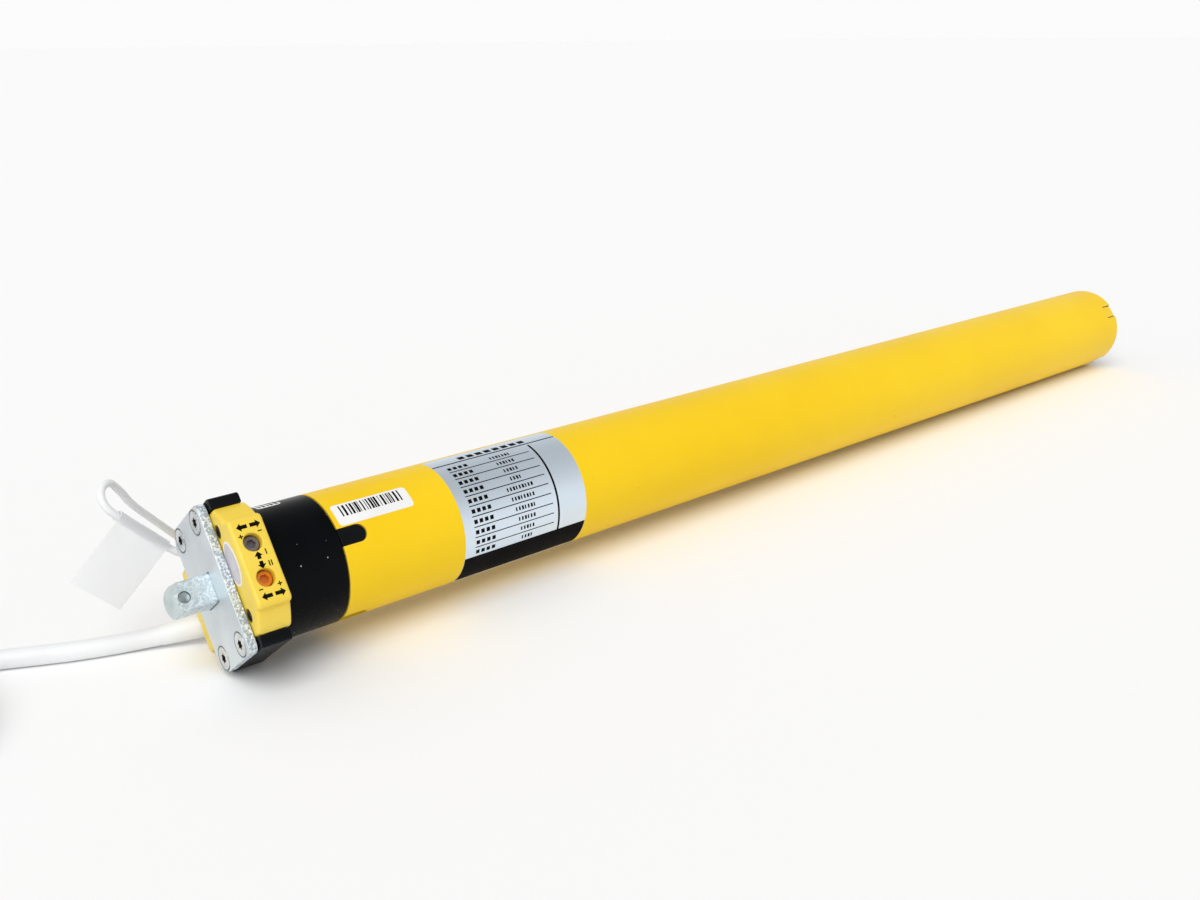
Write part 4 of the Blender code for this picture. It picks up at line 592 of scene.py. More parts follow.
# The motor tube
# A drawn steel tube, 45 mm across with a 1.2 mm wall, powder-coated yellow. Slots in its head end take
# the head's keys, and tabs cut into its far end are pressed inwards to hold the end cap.
def slot_tool(width, start, end, inner, outer):
    """A slot along the tube on its +X side, flat at its start and round at its end."""
    half = width / 2
    tool = start_piece(
        "slot_tool",
        bpy.ops.mesh.primitive_cylinder_add,
        vertices=48,
        radius=half,
        depth=outer - inner,
        location=((inner + outer) / 2, 0, end - half),
        rotation=(0, math.pi / 2, 0),
    )
    for corner in tool.data.vertices:
        if corner.co.z < end - half - 0.001 * mm:
            corner.co.z = start
    return tool


def quarter_turns(make_tool):
    """One tool for each quarter of the tube."""
    for quarter in range(4):
        tool = make_tool()
        tool.data.transform(Matrix.Rotation(quarter * math.pi / 2, 4, "Z"))
        yield tool


def specks(material, colour, spacing, size, share):
    """Scatters small specks of another colour; spacing and size are real, share is how many show."""
    nodes, link = material.node_tree.nodes, material.node_tree.links.new
    scatter = nodes.new("ShaderNodeTexVoronoi")
    scatter.inputs["Scale"].default_value = 1 / spacing
    link(nodes["Texture Coordinate"].outputs["Object"], scatter.inputs["Vector"])
    near = nodes.new("ShaderNodeMapRange")
    near.inputs["From Min"].default_value = size / spacing
    near.inputs["From Max"].default_value = 0.6 * size / spacing
    link(scatter.outputs["Distance"], near.inputs["Value"])
    chance = nodes.new("ShaderNodeMath")
    chance.operation = "LESS_THAN"
    chance.inputs[1].default_value = share
    link(scatter.outputs["Color"], chance.inputs[0])
    both = nodes.new("ShaderNodeMath")
    both.operation = "MULTIPLY"
    link(near.outputs["Result"], both.inputs[0])
    link(chance.outputs["Value"], both.inputs[1])
    layer_over(material, colour, both.outputs["Value"])


def second_finish(piece, material, wanted, place=lying):
    """Gives some of a settled piece's faces another finish, picked by place and normal as modelled."""
    back = place.inverted()
    piece.data.materials.append(material)
    for face in piece.data.polygons:
        if wanted(back @ face.center, back.to_3x3() @ face.normal):
            face.material_index = len(piece.data.materials) - 1


tube_radius = 22.5 * mm
tube_bore = 21.3 * mm
tube_length = 525 * mm
slot_width = 6.3 * mm
slot_length = 9.7 * mm
tab_width = 7.0 * mm
tab_length = 9.0 * mm
tab_slit = 0.5 * mm
tab_slit_depth = 0.8 * mm
tab_pressed = 0.8 * mm
tab_start = tube_length - tab_length
tube_rows = [0, slot_length + 2 * mm, tab_start - 2 * mm]
tube_rows += [tab_start + tab_length * i / 6 for i in range(7)]
tube = turned(
    "motor_tube_shell",
    [(tube_radius, row) for row in tube_rows]
    + [(tube_bore, row) for row in reversed(tube_rows)]
    + [(tube_radius, 0)],
    steps=160,
)
ease_edges(tube, 0.12 * mm)
for tool in quarter_turns(lambda: slot_tool(slot_width, -mm, slot_length, tube_bore - mm, tube_radius + mm)):
    cut(tube, tool)
for side in (1, -1):
    slit_low = (tube_radius - tab_slit_depth, (side * tab_width - tab_slit) / 2, tab_start)
    slit_high = (tube_radius + mm, (side * tab_width + tab_slit) / 2, tube_length + mm)
    for tool in quarter_turns(lambda: block("slit_tool", slit_low, slit_high)):
        cut(tube, tool)
for corner in tube.data.vertices:
    across = min(abs(corner.co.x), abs(corner.co.y))
    if corner.co.z > tab_start and across < (tab_width - tab_slit) / 2 + 0.01 * mm:
        bent = ((corner.co.z - tab_start) / tab_length) ** 1.5
        corner.co.xy -= corner.co.xy.normalized() * tab_pressed * bent
yellow_coat = surface(
    "yellow_powder_coat",
    colours=((0.90, 0.585, 0.010), (0.94, 0.63, 0.014)),
    patch=70 * mm,
    rough=(0.34, 0.44),
    grain=1.3 * mm,
    relief=0.012 * mm,
    worn=(0.80, 0.62, 0.20),
    sockets={"Specular IOR Level": 0.12},
)
specks(yellow_coat, (0.42, 0.25, 0.02), spacing=8 * mm, size=0.4 * mm, share=0.25)
# Near-black finish for the tab slits' walls and floors: bare sheared steel, darkened further as painted shade in the
# narrow grooves.
sheared_steel_and_painted_shade = surface(
    "sheared_steel_and_painted_shade",
    colours=((0.05, 0.035, 0.012), (0.10, 0.075, 0.03)),
    patch=2 * mm,
    rough=(0.4, 0.6),
    grain=0.3 * mm,
    relief=0.02 * mm,
)
settle(tube, yellow_coat, "housing")
# The slits' faces take the near-black finish, bare sheared steel with painted shade.
second_finish(
    tube,
    sheared_steel_and_painted_shade,
    lambda middle, normal: middle.z > tab_start
    and middle.xy.length < tube_radius - 0.05 * mm
    and abs(min(abs(middle.x), abs(middle.y)) - tab_width / 2) < tab_slit,
)
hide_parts("motor_tube")


# The rating label
# A thin silver foil label wrapped round the tube behind the head. Its frame, its rules
# and a black band at its lower edge are printed; its rows hold plain blocks of print.
def wrapped(name, radius, thickness, reach, turn, corner=0.0):
    """A thin sheet laid round the tube: reach along it, turn in degrees (90 on top, 180 to the camera)."""
    length = reach[1] - reach[0]
    girth = radius * math.radians(turn[1] - turn[0])
    sheet = start_piece(
        name,
        bpy.ops.mesh.primitive_grid_add,
        x_subdivisions=max(1, round(length / mm)) if corner else 1,
        y_subdivisions=max(1, math.ceil(girth / mm)),
        size=1,
    )
    for point in sheet.data.vertices:
        x, y = point.co.x * length, point.co.y * girth
        if corner:
            over_x = max(abs(x) - length / 2 + corner, 0) / corner
            over_y = max(abs(y) - girth / 2 + corner, 0) / corner
            x -= math.copysign(corner * over_x * (1 - math.sqrt(1 - over_y**2 / 2)), x)
            y -= math.copysign(corner * over_y * (1 - math.sqrt(1 - over_x**2 / 2)), y)
        angle = math.radians((turn[0] + turn[1]) / 2) + y / radius
        point.co = (radius * math.cos(angle), radius * math.sin(angle), (reach[0] + reach[1]) / 2 + x)
    sheet.data.flip_normals()
    apply_step(sheet, "SOLIDIFY", thickness=thickness, offset=1)
    return sheet


def gather(name, parts):
    """Joins loose pieces of one print or one set into a single piece."""
    bpy.ops.object.select_all(action="DESELECT")
    for part in parts:
        part.select_set(True)
    bpy.context.view_layer.objects.active = parts[0]
    bpy.ops.object.join()
    parts[0].name = parts[0].data.name = name
    return parts[0]


tube_side = Vector((0, 1, 0))
upright = Matrix((tube_side, along_tube.cross(tube_side), along_tube)).transposed().to_4x4()
upright = Matrix.Translation(head_end) @ upright
foil_thickness = 0.07 * mm
ink_thickness = 0.012 * mm
label_reach = (45.7 * mm, 101.5 * mm)
label_turn = (79.0, 236.0)
label = wrapped("rating_label_foil", tube_radius, foil_thickness, label_reach, label_turn, corner=2 * mm)
silver_foil = surface(
    "silver_foil",
    colours=((0.69, 0.78, 0.87), (0.75, 0.84, 0.93)),
    patch=45 * mm,
    rough=(0.3, 0.42),
    grain=0.5 * mm,
    relief=0.006 * mm,
    metal=0.85,
)
settle(label, silver_foil, "housing", place=upright)


def label_print(reach, turn):
    """One printed stretch of the label."""
    return wrapped("print", tube_radius + foil_thickness, ink_thickness, reach, turn)


def printed_line(start, end, angle, width):
    """A rule along the tube."""
    half = math.degrees(width / tube_radius) / 2
    return label_print((start, end), (angle - half, angle + half))


title_angle = 97.6
rows_turn = (100.8, 197.3)
row_count = 10
row_turn = (rows_turn[1] - rows_turn[0]) / row_count
divider_at = 88 * mm
row_start = label_reach[0] + 4.2 * mm
prints = [
    printed_line(label_reach[0] + 0.2 * mm, label_reach[1] - 0.2 * mm, title_angle, 0.6 * mm),
    label_print((divider_at - 0.45 * mm, divider_at + 0.45 * mm), rows_turn),
    label_print((label_reach[0] + 0.1 * mm, label_reach[1] - 0.1 * mm), (rows_turn[1], label_turn[1] - 4.0)),
]
for row in range(1, row_count):
    rule = rows_turn[0] + row * row_turn
    prints.append(printed_line(row_start, divider_at - 2.4 * mm, rule, 0.36 * mm))
for row in range(row_count):
    middle = rows_turn[0] + (row + 0.52) * row_turn
    block_at = row_start + 0.4 * mm
    for i in range(4):
        prints.append(label_print((block_at, block_at + 1.5 * mm), (middle - 1.9, middle + 1.9)))
        block_at += 2.3 * mm
    value_count = 4 + (row * 5 + 3) % 6
    block_at = 73.5 * mm - value_count * 0.68 * mm
    for i in range(value_count):
        width = (0.6 + 0.3 * ((i * 7 + row * 3) % 3) / 2) * mm
        prints.append(label_print((block_at, block_at + width), (middle - 1.8, middle + 1.8)))
        block_at += 1.35 * mm
for i in range(8):
    block_at = 58.5 * mm + i * 3.9 * mm
    prints.append(label_print((block_at, block_at + 2.7 * mm), (88.5, 94.5)))
label_ink = gather("rating_label_print", prints)
black_ink = surface(
    "black_ink",
    colours=((0.003, 0.003, 0.0033), (0.0065, 0.006, 0.006)),
    patch=10 * mm,
    rough=(0.6, 0.75),
    grain=0.4 * mm,
    relief=0.004 * mm,
    sockets={"Specular IOR Level": 0.04},
)
settle(label_ink, black_ink, "housing", place=upright)


# The number sticker
# A white paper sticker with rounded corners, stuck on beside the head. It has a row of bars
# of uneven width, and the strip below them is bare.
sticker_reach = (1.6 * mm, 30.2 * mm)
sticker_turn = (111.5, 133.6)
sticker = wrapped("number_sticker_paper", tube_radius, foil_thickness, sticker_reach, sticker_turn, corner=1.2 * mm)
white_paper = surface(
    "white_paper",
    colours=((0.84, 0.84, 0.83), (0.89, 0.89, 0.885)),
    patch=14 * mm,
    rough=(0.42, 0.58),
    grain=0.35 * mm,
    relief=0.008 * mm,
)
settle(sticker, white_paper, "housing", place=upright)


def bars(reach, turn, radius):
    """A row of printed bars with uneven widths and gaps."""
    strips = []
    unit = 0.27 * mm
    at = reach[0]
    step = 1
    while at < reach[1] - 3 * unit:
        width = (1 + (step * 7 + step // 3) % 3) * unit
        strips.append(wrapped("bar", radius, ink_thickness, (at, at + width), turn))
        at += width + (1 + (step * 5 + step // 2) % 3) * unit
        step += 1
    return strips


bars_reach = (sticker_reach[0] + 2.6 * mm, sticker_reach[1] - 2.6 * mm)
sticker_ink = gather("number_sticker_print", bars(bars_reach, (113.6, 125.4), tube_radius + foil_thickness))
settle(sticker_ink, black_ink, "housing", place=upright)


# The limit ring
# A glossy black drum, moulded in one piece, that the shutter's barrel turns. Teeth inside its front end
# drive the limit switches, and the smooth bore behind them runs on the head.
ring_front = -22.9 * mm
ring_back = -0.5 * mm
ring_gear_end = -16.5 * mm
ring_lip_end = -15.5 * mm
ring_lip_radius = 17.76 * mm
ring_land_radius = 19.2 * mm
tooth_tip_radius = 18.06 * mm
tooth_depth = 1.94 * mm
ring_teeth = 36
steps_a_tooth = 4
ring = turned(
    "limit_ring_drum",
    [
        (tube_radius, ring_back),
        (tube_radius, ring_front),
        (tooth_tip_radius, ring_front),
        (tooth_tip_radius, ring_gear_end),
        (ring_lip_radius, ring_gear_end),
        (ring_lip_radius, ring_lip_end),
        (ring_land_radius, ring_lip_end),
        (ring_land_radius, ring_back),
        (tube_radius, ring_back),
    ],
    steps=ring_teeth * steps_a_tooth,
)
ease_edges(ring, 0.3 * mm, sharper_than=60)
tooth_spaces = start_piece(
    "tooth_spaces",
    bpy.ops.mesh.primitive_cylinder_add,
    vertices=ring_teeth * steps_a_tooth,
    radius=tooth_tip_radius - 0.2 * mm,
    depth=ring_gear_end - ring_front + mm,
    location=(0, 0, (ring_gear_end + ring_front - mm) / 2),
)


def in_tooth_space(middle, normal):
    step = math.floor((math.atan2(middle.y, middle.x) % (2 * math.pi)) / (2 * math.pi) * ring_teeth * steps_a_tooth)
    return abs(normal.z) < 0.1 and step % steps_a_tooth in (0, 1)


edit(tooth_spaces, "FACE")
pick_faces(tooth_spaces, in_tooth_space)
bpy.ops.mesh.extrude_region_shrink_fatten(TRANSFORM_OT_shrink_fatten={"value": tooth_depth + 0.2 * mm})
done()
cut(ring, tooth_spaces)
black_gloss = surface(
    "black_gloss_plastic",
    colours=((0.0014, 0.0018, 0.0026), (0.0028, 0.0033, 0.0044)),
    patch=30 * mm,
    rough=(0.22, 0.3),
    grain=6 * mm,
    relief=0.004 * mm,
    sockets={"Specular IOR Level": 0.06},
)
specks(black_gloss, (0.42, 0.43, 0.45), spacing=3.2 * mm, size=0.3 * mm, share=0.42)
settle(ring, black_gloss, "limit_ring")
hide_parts("limit_ring")


# The ring's sticker
# A small white paper sticker with a row of bars, stuck on top of the limit ring and turning with it.
ring_sticker_reach = (-18.4 * mm, -10.2 * mm)
ring_sticker_turn = (66.0, 86.0)
ring_sticker = wrapped(
    "ring_sticker_paper", tube_radius, foil_thickness, ring_sticker_reach, ring_sticker_turn, corner=0.8 * mm
)
settle(ring_sticker, white_paper, "limit_ring", place=upright)
bars_reach = (ring_sticker_reach[0] + 0.9 * mm, ring_sticker_reach[1] - 0.5 * mm)
ring_sticker_ink = gather("ring_sticker_print", bars(bars_reach, (72.0, 84.0), tube_radius + foil_thickness))
settle(ring_sticker_ink, black_ink, "limit_ring", place=upright)


# The head body
# The black moulding that carries everything at this end: a flange behind the plate, a core for the two
# covers, a neck that the ring runs on, and a sleeve with four keys that sits in the tube.
def arc(centre, radius, start, end, steps=10):
    """Points along an arc, in degrees, of a flat outline."""
    angles = [math.radians(start + (end - start) * i / steps) for i in range(steps + 1)]
    return [(centre[0] + radius * math.cos(a), centre[1] + radius * math.sin(a)) for a in angles]


def drawn(name, outline, low, high):
    """A flat outline, drawn from point to point and filled, then extruded along Z."""
    piece = start_piece(
        name, bpy.ops.mesh.primitive_circle_add, vertices=len(outline), radius=mm, fill_type="NGON"
    )
    for corner, (x, y) in zip(piece.data.vertices, outline):
        corner.co = (x, y, low)
    edit(piece, "FACE")
    bpy.ops.mesh.select_all(action="SELECT")
    bpy.ops.mesh.extrude_region_move(TRANSFORM_OT_translate={"value": (0, 0, high - low)})
    bpy.ops.mesh.select_all(action="SELECT")
    bpy.ops.mesh.normals_make_consistent(inside=False)
    done()
    return piece


def rod(radius, start, end, place=(0, 0, 0), turn=(0, 0, 0), sides=48):
    """A plain round bar along Z of its own place, to drill a hole with or to join on."""
    tool = start_piece(
        "rod",
        bpy.ops.mesh.primitive_cylinder_add,
        vertices=sides,
        radius=radius,
        depth=end - start,
        location=(0, 0, (start + end) / 2),
    )
    turned_to = Matrix.Rotation(turn[2], 4, "Z") @ Matrix.Rotation(turn[1], 4, "Y") @ Matrix.Rotation(turn[0], 4, "X")
    tool.data.transform(Matrix.Translation(place) @ turned_to)
    return tool


cover_front = -34.9 * mm
flange_back = -24.7 * mm
flange_half_width = 25.3 * mm
flange_half_height = 17.5 * mm
cover_seat = 12.7 * mm
cover_room = 21.5 * mm
core_half_width = 15.8 * mm
core_height = 19.5 * mm
core_front = -32.5 * mm
core_back = -25.7 * mm
neck_radius = 17.16 * mm
land_radius = 18.9 * mm
sleeve_radius = 21.0 * mm
sleeve_end = 30 * mm
head_bore = 15.5 * mm
head_floor = -31.2 * mm
neck_front = -26.7 * mm
near_corner = 1.5 * mm  # of the corners beside the limit screws
far_corner = 4.2 * mm
notch_angle = math.degrees(math.acos((cover_room - flange_half_width + far_corner) / far_corner))
right_side = [(cover_room, -cover_seat)]
right_side += arc((flange_half_width - far_corner, far_corner - flange_half_height), far_corner, -notch_angle, 0)
right_side += arc((flange_half_width - near_corner, flange_half_height - near_corner), near_corner, 0, 90)
right_side += [(cover_room, flange_half_height), (cover_room, cover_seat)]
left_side = [(-x, y) for x, y in reversed(right_side)]
head = drawn("head_body_moulding", right_side + left_side, cover_front, flange_back)
ease_edges(head, 0.25 * mm)
neck = turned(
    "head_neck",
    [
        (sleeve_radius, sleeve_end),
        (sleeve_radius, -0.2 * mm),
        (land_radius, -0.2 * mm),
        (land_radius, -15.2 * mm),
        (neck_radius, -15.2 * mm),
        (neck_radius, neck_front),
        (head_bore - mm, neck_front),
        (head_bore - mm, sleeve_end),
        (sleeve_radius, sleeve_end),
    ],
)
fuse(head, neck)
key_width = 5.7 * mm
key_length = 9.4 * mm
key_top = 22.1 * mm
for tool in quarter_turns(lambda: slot_tool(key_width, 0, key_length, sleeve_radius - mm, key_top)):
    ease_edges(tool, 0.25 * mm)
    fuse(head, tool)
core = block(
    "cover_core", (-core_half_width, -core_height, core_front), (core_half_width, core_height, core_back)
)
fuse(head, core)
cut(head, rod(head_bore, head_floor, sleeve_end + mm, sides=96))

stub_base = 8 * mm
stub_base_back = -33.0 * mm
pocket = stub_base + 0.3 * mm
cut(head, block("stub_pocket", (-pocket, -pocket, -40 * mm), (pocket, pocket, stub_base_back + 0.3 * mm)))
plate_screw_places = [(x * 20.8 * mm, y * 9.0 * mm) for x in (1, -1) for y in (1, -1)]
for x, y in plate_screw_places:
    cut(head, rod(2.3 * mm, -40 * mm, -26.4 * mm, place=(x, y, 0)))
cover_screw_places = [(x * 14.2 * mm, y * 15.6 * mm) for y in (1, -1) for x in (1, -1)]
for x, y in cover_screw_places:
    cut(head, rod(1.2 * mm, -40 * mm, -27.7 * mm, place=(x, y, 0), sides=24))
adjuster_spacing = 11.8 * mm
adjuster_depth = -29.2 * mm
to_limit_face = (-math.pi / 2, 0, 0)
for side in (1, -1):
    place = (side * adjuster_spacing / 2, 0, adjuster_depth)
    cut(head, rod(1.5 * mm, 9.7 * mm, 26 * mm, place=place, turn=to_limit_face, sides=24))
cord_passage = (outlet_place.x, 0, adjuster_depth)
cut(head, rod(3.0 * mm, -30 * mm, -9.7 * mm, place=cord_passage, turn=to_limit_face, sides=24))
cut(head, block("gear_window", (-22.5 * mm, -7.8 * mm, -22.7 * mm), (-12.6 * mm, 7.8 * mm, -16.5 * mm)))
black_moulding = surface(
    "black_moulding",
    colours=((0.0022, 0.0026, 0.0036), (0.0046, 0.0052, 0.0068)),
    patch=22 * mm,
    rough=(0.3, 0.42),
    grain=1.5 * mm,
    relief=0.008 * mm,
    worn=(0.04, 0.04, 0.045),
    sockets={"Specular IOR Level": 0.09},
)
settle(head, black_moulding, "housing")
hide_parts("head_body")


# The mounting plate
# A 3 mm steel plate, punched and bright zinc plated, screwed to the head. Its square hole lets the stub
# through, its screw holes are countersunk, and its sheared edge is left rough under the plating.
def spangle(material, size, dull):
    """Breaks a zinc finish up into crystals of a real size, the dullest of them in another colour."""
    nodes, link = material.node_tree.nodes, material.node_tree.links.new
    crystals = nodes.new("ShaderNodeTexVoronoi")
    crystals.inputs["Scale"].default_value = 1 / size
    link(nodes["Texture Coordinate"].outputs["Object"], crystals.inputs["Vector"])
    share = nodes.new("ShaderNodeMapRange")
    share.inputs["From Min"].default_value = 0.3
    share.inputs["From Max"].default_value = 0.7
    link(crystals.outputs["Color"], share.inputs["Value"])
    layer_over(material, dull, share.outputs["Result"])


plate_front = -38.2 * mm
plate_back = -35.2 * mm
plate_half_width = 25.4 * mm
plate_half_height = 15 * mm
stub_half = 5 * mm
screw_head_radius = 3.8 * mm
screw_head_height = 1.8 * mm
near_corner = 3.0 * mm
far_corner = 6.0 * mm
right_side = arc((plate_half_width - far_corner, far_corner - plate_half_height), far_corner, -90, 0)
right_side += arc((plate_half_width - near_corner, plate_half_height - near_corner), near_corner, 0, 90)
left_side = [(-x, y) for x, y in reversed(right_side)]
plate = drawn("mounting_plate_steel", right_side + left_side, plate_front, plate_back)
ease_edges(plate, 0.35 * mm, steps=3)
hole = stub_half + 0.3 * mm
cut(plate, block("square_hole", (-hole, -hole, plate_front - mm), (hole, hole, plate_back + mm)))
sink_radius = screw_head_radius + 0.35 * mm
for x, y in plate_screw_places:
    sink = turned(
        "countersink",
        [
            (0, plate_front - mm),
            (sink_radius + 1.25 * mm, plate_front - mm),
            (sink_radius, plate_front + 0.25 * mm),
            (2.3 * mm, plate_front + screw_head_height),
            (2.3 * mm, plate_back + mm),
            (0, plate_back + mm),
        ],
        steps=64,
    )
    sink.data.transform(Matrix.Translation((x, y, 0)))
    cut(plate, sink)
zinc_plating = surface(
    "zinc_plating",
    colours=((0.66, 0.70, 0.725), (0.75, 0.79, 0.815)),
    patch=16 * mm,
    rough=(0.42, 0.54),
    grain=0.8 * mm,
    relief=0.012 * mm,
    metal=1.0,
    worn=(0.86, 0.88, 0.88),
)
rough_zinc = surface(
    "rough_zinc",
    colours=((0.74, 0.82, 0.87), (0.92, 0.96, 0.98)),
    patch=2.5 * mm,
    rough=(0.3, 0.55),
    grain=0.8 * mm,
    relief=0.2 * mm,
    metal=0.2,
)
spangle(rough_zinc, size=0.6 * mm, dull=(0.36, 0.43, 0.48))
# Dark grey metal for the plate's hole walls and the stub's dimple: bare drilled steel, darkened as painted shade in
# these hollows.
drilled_steel_and_painted_shade = surface(
    "drilled_steel_and_painted_shade",
    colours=((0.24, 0.28, 0.30), (0.36, 0.42, 0.44)),
    patch=1.5 * mm,
    rough=(0.35, 0.5),
    grain=0.3 * mm,
    relief=0.02 * mm,
    metal=0.9,
)
settle(plate, zinc_plating, "housing")
second_finish(plate, rough_zinc, lambda middle, normal: abs(normal.z) < 0.75 and abs(middle.z) < 38.0 * mm)
# The screw holes' walls and countersinks take the dark finish: bare drilled steel, darker as painted shade in the gap
# round the screw heads.
second_finish(
    plate,
    drilled_steel_and_painted_shade,
    lambda middle, normal: any((middle.xy - Vector(place)).length < sink_radius + 0.5 * mm for place in plate_screw_places)
    and plate_front + 0.02 * mm < middle.z < plate_back - 0.02 * mm,
)
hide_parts("mounting_plate")


# The square stub
# A 10 mm square bar of galvanised steel that the wall bracket grips, its edges chamfered, its nose turned
# round and one side dimpled for a set screw. Its broad foot is trapped between the plate and the head.
stub_tip = -52 * mm
stub_edge = 1.0 * mm
stub = block("square_stub_bar", (-stub_half, -stub_half, stub_tip), (stub_half, stub_half, stub_base_back))
edit(stub, "EDGE")
pick_edges(stub, lambda a, b: abs(a.z - b.z) > stub_half)
bpy.ops.mesh.bevel(offset=stub_edge, segments=2)
done()
nose = [(2.4, -0.3), (3.6, 0.15), (4.5, 0.65), (5.3, 1.4), (6.1, 2.4), (7.8, 4.8)]
nose_tool = turned(
    "nose_tool",
    [(radius * mm, stub_tip + back * mm) for radius, back in nose + [(9, 4.8), (9, -1), (2.4, -1), nose[0]]],
    steps=120,
)
nose_tool.data.transform(Matrix.Translation((-0.6 * mm, 0, 0)))
cut(stub, nose_tool)
foot = block("stub_foot", (-stub_base, -stub_base, cover_front), (stub_base, stub_base, stub_base_back))
fuse(stub, foot)
dimple_radius = 2.0 * mm
dimple_depth = 0.9 * mm
dimple_at = -47.9 * mm
dimple_side = -0.5 * mm
dimple = turned(
    "dimple",
    [
        (0, -dimple_depth),
        (1.2 * mm, -0.93 * dimple_depth),
        (1.75 * mm, -0.7 * dimple_depth),
        (dimple_radius, -0.2 * dimple_depth),
        (dimple_radius, mm),
        (0, mm),
    ],
    steps=48,
)
dimple.data.transform(
    Matrix.Translation((dimple_side, stub_half, dimple_at)) @ Matrix.Rotation(to_limit_face[0], 4, "X")
)
cut(stub, dimple)
galvanised = surface(
    "galvanised_steel",
    colours=((0.64, 0.74, 0.79), (0.80, 0.90, 0.94)),
    patch=4 * mm,
    rough=(0.36, 0.54),
    grain=0.9 * mm,
    relief=0.06 * mm,
    metal=0.5,
    worn=(0.86, 0.90, 0.92),
)
spangle(galvanised, size=0.6 * mm, dull=(0.50, 0.59, 0.63))
turned_zinc = surface(
    "turned_zinc",
    colours=((0.52, 0.60, 0.59), (0.60, 0.68, 0.67)),
    patch=4 * mm,
    rough=(0.36, 0.5),
    grain=0.6 * mm,
    relief=0.02 * mm,
    metal=0.5,
    worn=(0.80, 0.86, 0.88),
)
settle(stub, galvanised, "housing")
second_finish(stub, turned_zinc, lambda middle, normal: normal.z < -0.3 and middle.z < stub_tip + 5 * mm)
# The dimple takes the dark finish: bare drilled steel, with painted shade in its hollow.
second_finish(
    stub,
    drilled_steel_and_painted_shade,
    lambda middle, normal: math.hypot(middle.x - dimple_side, middle.z - dimple_at) < dimple_radius + 0.01 * mm
    and 0.05 * mm < stub_half - middle.y < dimple_depth + mm,
)
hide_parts("square_stub")


# The plate's screws
# Four countersunk steel screws with six-lobed sockets, zinc plated and driven flush into the head.
# The sockets are painted near-black, for dirt and as painted shade in their deep hollows.
screw_length = 11.5 * mm
thread_pitch = 0.7 * mm
screw_section = [(0, plate_front), (screw_head_radius, plate_front)]
screw_section += [(screw_head_radius, plate_front + 0.25 * mm), (2.0 * mm, plate_front + screw_head_height)]
for i in range(12):
    thread = plate_front + screw_head_height + 0.6 * mm + i * thread_pitch
    screw_section += [(2.0 * mm, thread), (1.62 * mm, thread + 0.45 * thread_pitch)]
screw_section += [(1.6 * mm, plate_front + screw_length - 0.2 * mm), (0.7 * mm, plate_front + screw_length)]
screw_section += [(0, plate_front + screw_length)]
plate_screw = turned("plate_screw_pattern", screw_section, steps=48)
ease_edges(plate_screw, 0.1 * mm, sharper_than=55)
socket = rod(1.7 * mm, plate_front - mm, plate_front + 1.4 * mm, sides=72)
for corner in socket.data.vertices:
    lobe = math.cos(6 * math.atan2(corner.co.y, corner.co.x))
    corner.co.xy *= 0.86 + 0.14 * lobe
cut(plate_screw, socket)
bright_zinc = surface(
    "bright_zinc",
    colours=((0.60, 0.62, 0.63), (0.72, 0.74, 0.745)),
    patch=5 * mm,
    rough=(0.2, 0.36),
    grain=0.3 * mm,
    relief=0.015 * mm,
    metal=1.0,
)
# Near-black for the screws' sockets: dirt, and painted shade in the deep hollow.
socket_dirt_and_painted_shade = surface(
    "socket_dirt_and_painted_shade",
    colours=((0.006, 0.006, 0.006), (0.02, 0.019, 0.018)),
    patch=1.5 * mm,
    rough=(0.5, 0.75),
    grain=0.2 * mm,
    relief=0.02 * mm,
)


def copy_of(pattern, name):
    """Another piece of the same shape, with a mesh of its own."""
    piece = pattern.copy()
    piece.data = pattern.data.copy()
    piece.name = piece.data.name = name
    bpy.context.collection.objects.link(piece)
    return piece


for i, (x, y) in enumerate(plate_screw_places):
    screw = copy_of(plate_screw, f"plate_screw_steel_{i + 1}")
    turn = Matrix.Rotation(math.radians(17 + 23 * i), 4, "Z")
    place = lying @ Matrix.Translation((x, y, 0)) @ turn
    settle(screw, bright_zinc, "housing", place=place)
    # The sockets' faces take the near-black finish, dirt and painted shade.
    second_finish(
        screw,
        socket_dirt_and_painted_shade,
        lambda middle, normal: middle.xy.length < 1.75 * mm and middle.z < plate_front + 1.5 * mm
        and middle.z > plate_front + 0.05 * mm,
        place=place,
    )
    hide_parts(f"plate_screw_{i + 1}")
bpy.data.objects.remove(plate_screw)


# The limit cover
# A smooth yellow moulding, screwed over the head's core on the side of the limit screws. It is a shell with
# round shoulders and a raised flat face, through which the two adjusting screws are reached.
cover_foot = 13 * mm


def cover_outline(face):
    """A cover's section: its seat, the round shoulders, the step with a fillet and the flat face."""
    block_half = 15 * mm
    corner = 2.0 * mm
    fillet = 0.5 * mm
    radius = 27.3 * mm
    seat_half = 21.2 * mm
    low = math.degrees(math.acos(seat_half / radius))
    foot = block_half + fillet
    high = math.degrees(math.acos(foot / radius))
    right = [(seat_half, cover_foot)] + arc((0, 0), radius, low, high, steps=12)
    step = math.sqrt(radius**2 - foot**2) + fillet
    right += arc((foot, step), fillet, 260, 180, steps=4)
    right += arc((block_half - corner, face - corner), corner, 0, 90)
    return right + [(-x, y) for x, y in reversed(right)]


